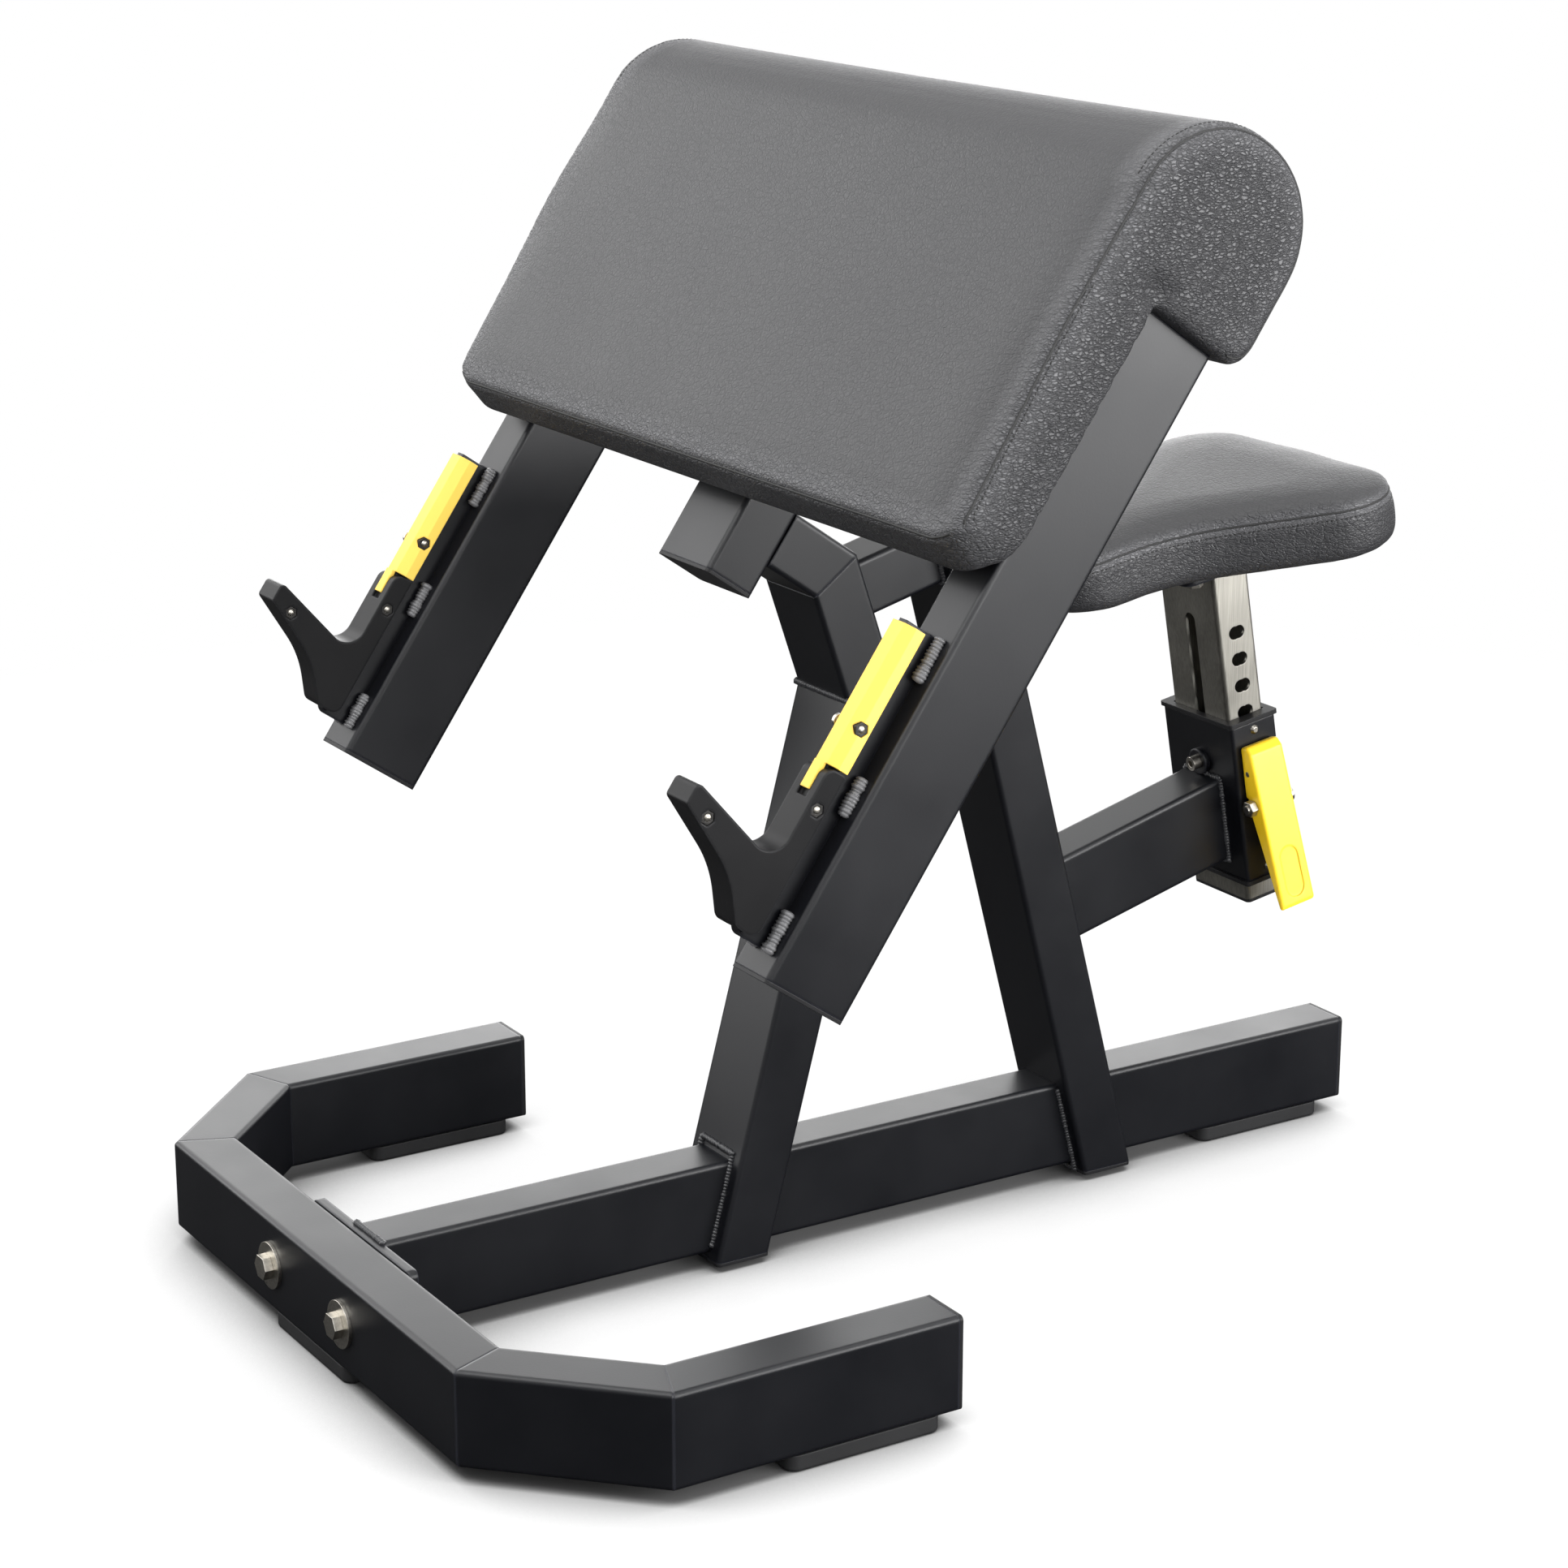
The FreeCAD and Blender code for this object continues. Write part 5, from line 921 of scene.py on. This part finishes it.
HOOK_WELD_SPANS = ((0.019, 0.049), (0.133, 0.161), (0.246, 0.279))
HOOK_WELD_ASIDE, HOOK_WELD_LIFT, HOOK_WELD_STEPS = 0.0105, 0.0022, 6


def hook_weld_paths():
    """Short heavy welds that hold each hook plate to its arm."""
    paths = []
    for way in SIDES.values():
        for side in (-1, 1):
            x = way * ARM_SPREAD + side * HOOK_WELD_ASIDE
            for low, high in HOOK_WELD_SPANS:
                runs = [low + (high - low) * step / HOOK_WELD_STEPS for step in range(HOOK_WELD_STEPS + 1)]
                paths.append([arm_at @ Vector((x, run, HOOK_WELD_LIFT)) for run in runs])
    return paths


# Stitching

def laid_on(pad, paths):
    """Paths moved onto a piece's surface."""
    surface = BVHTree.FromPolygons([vertex.co for vertex in pad.data.vertices],
                                   [tuple(face.vertices) for face in pad.data.polygons])
    return [[surface.find_nearest(point)[0] for point in finer(path)] for path in paths]


# Screw ends

def make_dome_tree():
    """Low round dome on every point, facing along X."""
    inputs = [("Radius", FLOAT, 0.003), ("Height", FLOAT, 0.001)]
    tree, given, result = geometry_group("dome_on_point", inputs)
    ball = add_node(tree, "GeometryNodeMeshUVSphere", {"Segments": 16, "Rings": 8, "Radius": 1.0})
    sizes = add_node(tree, "ShaderNodeCombineXYZ", {0: given.outputs["Height"], 1: given.outputs["Radius"],
                                                    2: given.outputs["Radius"]})
    shaped = add_node(tree, "GeometryNodeTransform", {
        "Geometry": ball.outputs["Mesh"], "Scale": sizes.outputs[0]})
    shaded = add_node(tree, "GeometryNodeSetShadeSmooth", {"Geometry": shaped.outputs[0]})
    set_out = add_node(tree, "GeometryNodeInstanceOnPoints", {"Points": given.outputs["Geometry"],
                                                              "Instance": shaded.outputs[0]})
    return end_tree(tree, set_out.outputs[0], given, result)


HOOK_SCREWS = ((0.080, 0.109), (0.125, 0.028), (0.192, 0.028))
NUT_FACE = 0.0142


def hook_screw_ends():
    """Where the screws of both hooks end, on the faces of their nuts."""
    ends = []
    for way in SIDES.values():
        for along, out in HOOK_SCREWS:
            ends.append([arm_at @ Vector((way * ARM_SPREAD + NUT_FACE, along, out))])
    return ends


# Lever spring

SPRING_TURNS, SPRING_WIRE, SPRING_KEPT = 6, 0.0016, 0.60
TURN_STEPS = 24


def lever_spring():
    """Coil between the sleeve and the lever's lower half."""
    low, high = (Vector(corner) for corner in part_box("lever_spring"))
    centre = (low + high) / 2
    wire = SPRING_WIRE / 2
    radius = (high.y - low.y) / 2 - wire
    count = SPRING_TURNS * TURN_STEPS
    path = []
    for step in range(count + 1):
        angle = 2 * math.pi * step / TURN_STEPS
        x = low.x + wire + (high.x - low.x - SPRING_WIRE) * step / count
        path.append(Vector((x, centre.y + radius * math.cos(angle), centre.z + radius * math.sin(angle))))
    coil = along_paths("return_spring", cord_tree, [path], spring_steel, radius=wire)
    riding(coil, "frame", "bare_steel", "lever_spring")
    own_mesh(coil)


def dressing():
    """Everything that Blender adds to the solids."""
    pad, pad_seams, pad_rows = arm_pad()
    seat, seat_seams, seat_rows = seat_cushion()
    for label, piece, body, seams, rows in (("pad", pad, "frame", pad_seams, pad_rows),
                                            ("seat", seat, "seat", seat_seams, seat_rows)):
        seam = along_paths(label + "_seam", cord_tree, laid_on(piece, seams), thread, radius=0.0010)
        riding(seam, body, "vinyl")
        stitches = along_paths(label + "_stitches", row_tree, laid_on(piece, rows), thread, spacing=0.0042,
                               radius=0.00065, length=2.5, variation=0.08, seed=3)
        riding(stitches, body, "vinyl")
    welds = along_paths("frame_welds", row_tree, weld_paths(), weld_coat, spacing=0.0028, radius=0.0034,
                        length=0.62, variation=0.16, seed=11)
    riding(welds, "frame", "frame_paint")
    hook_welds = along_paths("hook_welds", row_tree, hook_weld_paths(), weld_with_painted_light, spacing=0.0026,
                             radius=0.0060, length=0.45, variation=0.14, seed=5)
    riding(hook_welds, "frame", "frame_paint")
    ends = along_paths("hook_screw_ends", make_dome_tree(), hook_screw_ends(), bolt_steel, radius=0.0029,
                       height=0.0010)
    riding(ends, "frame", "bare_steel")
    lever_spring()


# Studio

FLOOR_REACH, SHADE_REACH = 30, 0.17
SHADE_DARK, SHADE_CLEAR = 0.32, 0.78
FLOOR_MIRRORED, AIR_LIGHT = 0.07, 0.35
LAMPS = [("backdrop_lamp", (-2.7, 1.7, 0.92), (0, 0, 0.5), 4.2, 1.32, 3.6),
         ("left_lamp", (-2.5, -1.1, 2.05), (0, 0, 0.8), 2.2, 1.8, 2.2),
         ("left_low_lamp", (-2.4, -2.0, 0.75), (0, -0.2, 0.5), 1.2, 1.1, 4.4),
         ("overhead_lamp", (0.2, 0.3, 3.0), (0, 0, 0.3), 3.6, 3.6, 1.7),
         ("front_lamp", (0.6, -2.0, 2.9), (0.2, 0, 0.8), 3.0, 0.8, 8.0),
         ("fill_lamp", (2.9, -0.5, 2.0), (0.3, 0, 0.8), 1.4, 1.2, 4.5),
         ("right_lamp", (2.3, 1.3, 0.82), (0.3, 0, 0.8), 2.2, 1.0, 12.0)]


def ray_kinds(tree):
    """Light path node, and the share of its rays that look at a surface and don't light it."""
    path = tree.nodes.new("ShaderNodeLightPath")
    mirrored = maths(tree, "MAXIMUM", path.outputs["Is Glossy Ray"], path.outputs["Is Transmission Ray"])
    return path, maths(tree, "MAXIMUM", path.outputs["Is Camera Ray"], mirrored)


def studio():
    """White floor that keeps the bench's shadow and carries a painted contact shadow, white air and large
    soft lamps.
    """
    corners = [(FLOOR_REACH * x, FLOOR_REACH * y, 0) for x, y in ((-1, -1), (1, -1), (1, 1), (-1, 1))]
    floor = mesh_object("studio_floor", corners, [(0, 1, 2, 3)], None)
    finish = bpy.data.materials.new("studio_white")
    finish.use_nodes = True
    tree = finish.node_tree
    tree.nodes.clear()
    path, seen = ray_kinds(tree)
    # Painted shadow: the floor's glow is dimmed by ambient occlusion near the bench.
    shade = add_node(tree, "ShaderNodeAmbientOcclusion", {"Distance": SHADE_REACH}, samples=16)
    open_air = spread(tree, shade.outputs["AO"], SHADE_DARK, SHADE_CLEAR)
    level = spread(tree, path.outputs["Is Glossy Ray"], 0.0, 1.0, 1.0, FLOOR_MIRRORED)
    glow = add_node(tree, "ShaderNodeEmission", {"Color": (1, 1, 1, 1),
                                                 "Strength": maths(tree, "MULTIPLY", open_air, level)})
    where = tree.nodes.new("ShaderNodeTexCoord")
    apart = add_node(tree, "ShaderNodeVectorMath", {0: where.outputs["Object"]}, operation="LENGTH")
    share = maths(tree, "MAXIMUM", spread(tree, apart.outputs["Value"], 0.7, 2.2, 0.80, 1.0),
                  path.outputs["Is Glossy Ray"])
    matt = add_node(tree, "ShaderNodeBsdfDiffuse", {"Color": (0.85, 0.85, 0.85, 1)})
    mixed = add_node(tree, "ShaderNodeMixShader", {0: maths(tree, "MULTIPLY", seen, share),
                                                   1: matt.outputs[0], 2: glow.outputs[0]})
    output = tree.nodes.new("ShaderNodeOutputMaterial")
    tree.links.new(mixed.outputs[0], output.inputs[0])
    floor.data.materials.append(finish)

    world = bpy.data.worlds.new("studio_air")
    bpy.context.scene.world = world
    world.use_nodes = True
    tree = world.node_tree
    tree.nodes.clear()
    seen = ray_kinds(tree)[1]
    strength = spread(tree, seen, 0.0, 1.0, AIR_LIGHT, 1.0)
    air = add_node(tree, "ShaderNodeBackground", {"Color": (1, 1, 1, 1), "Strength": strength})
    output = tree.nodes.new("ShaderNodeOutputWorld")
    tree.links.new(air.outputs[0], output.inputs[0])

    for settings in LAMPS:
        lamp(*settings)


def lamp(name, place, target, wide, tall, radiance):
    """Soft box of an even brightness, aimed at a point."""
    light = bpy.data.lights.new(name, "AREA")
    light.shape = "RECTANGLE"
    light.size, light.size_y = wide, tall
    light.energy = radiance * math.pi * wide * tall
    made = bpy.data.objects.new(name, light)
    made.location = place
    made.rotation_euler = (Vector(target) - Vector(place)).to_track_quat("-Z", "Y").to_euler()
    made.visible_camera = False
    bpy.context.scene.collection.objects.link(made)


CAMERA_TURN, CAMERA_RISE, CAMERA_AWAY = 58.25, 16.62, 3.109
CAMERA_TARGET = Vector((0.001, -0.0706, 0.4135))
SENSOR_WIDE, LENS = 36.0, 84.6


def camera():
    """Camera fitted to the photograph."""
    azimuth, elevation = math.radians(CAMERA_TURN), math.radians(CAMERA_RISE)
    level = math.cos(elevation)
    way = Vector((math.sin(azimuth) * level, -math.cos(azimuth) * level, math.sin(elevation)))
    eye = bpy.data.cameras.new("photo_camera")
    eye.sensor_width = SENSOR_WIDE
    eye.lens = LENS
    made = bpy.data.objects.new("photo_camera", eye)
    made.location = CAMERA_TARGET + CAMERA_AWAY * way
    made.rotation_euler = (CAMERA_TARGET - made.location).to_track_quat("-Z", "Y").to_euler()
    bpy.context.scene.collection.objects.link(made)
    bpy.context.scene.camera = made


camera()
studio()
dressing()
bpy.context.scene.view_settings.view_transform = "Standard"
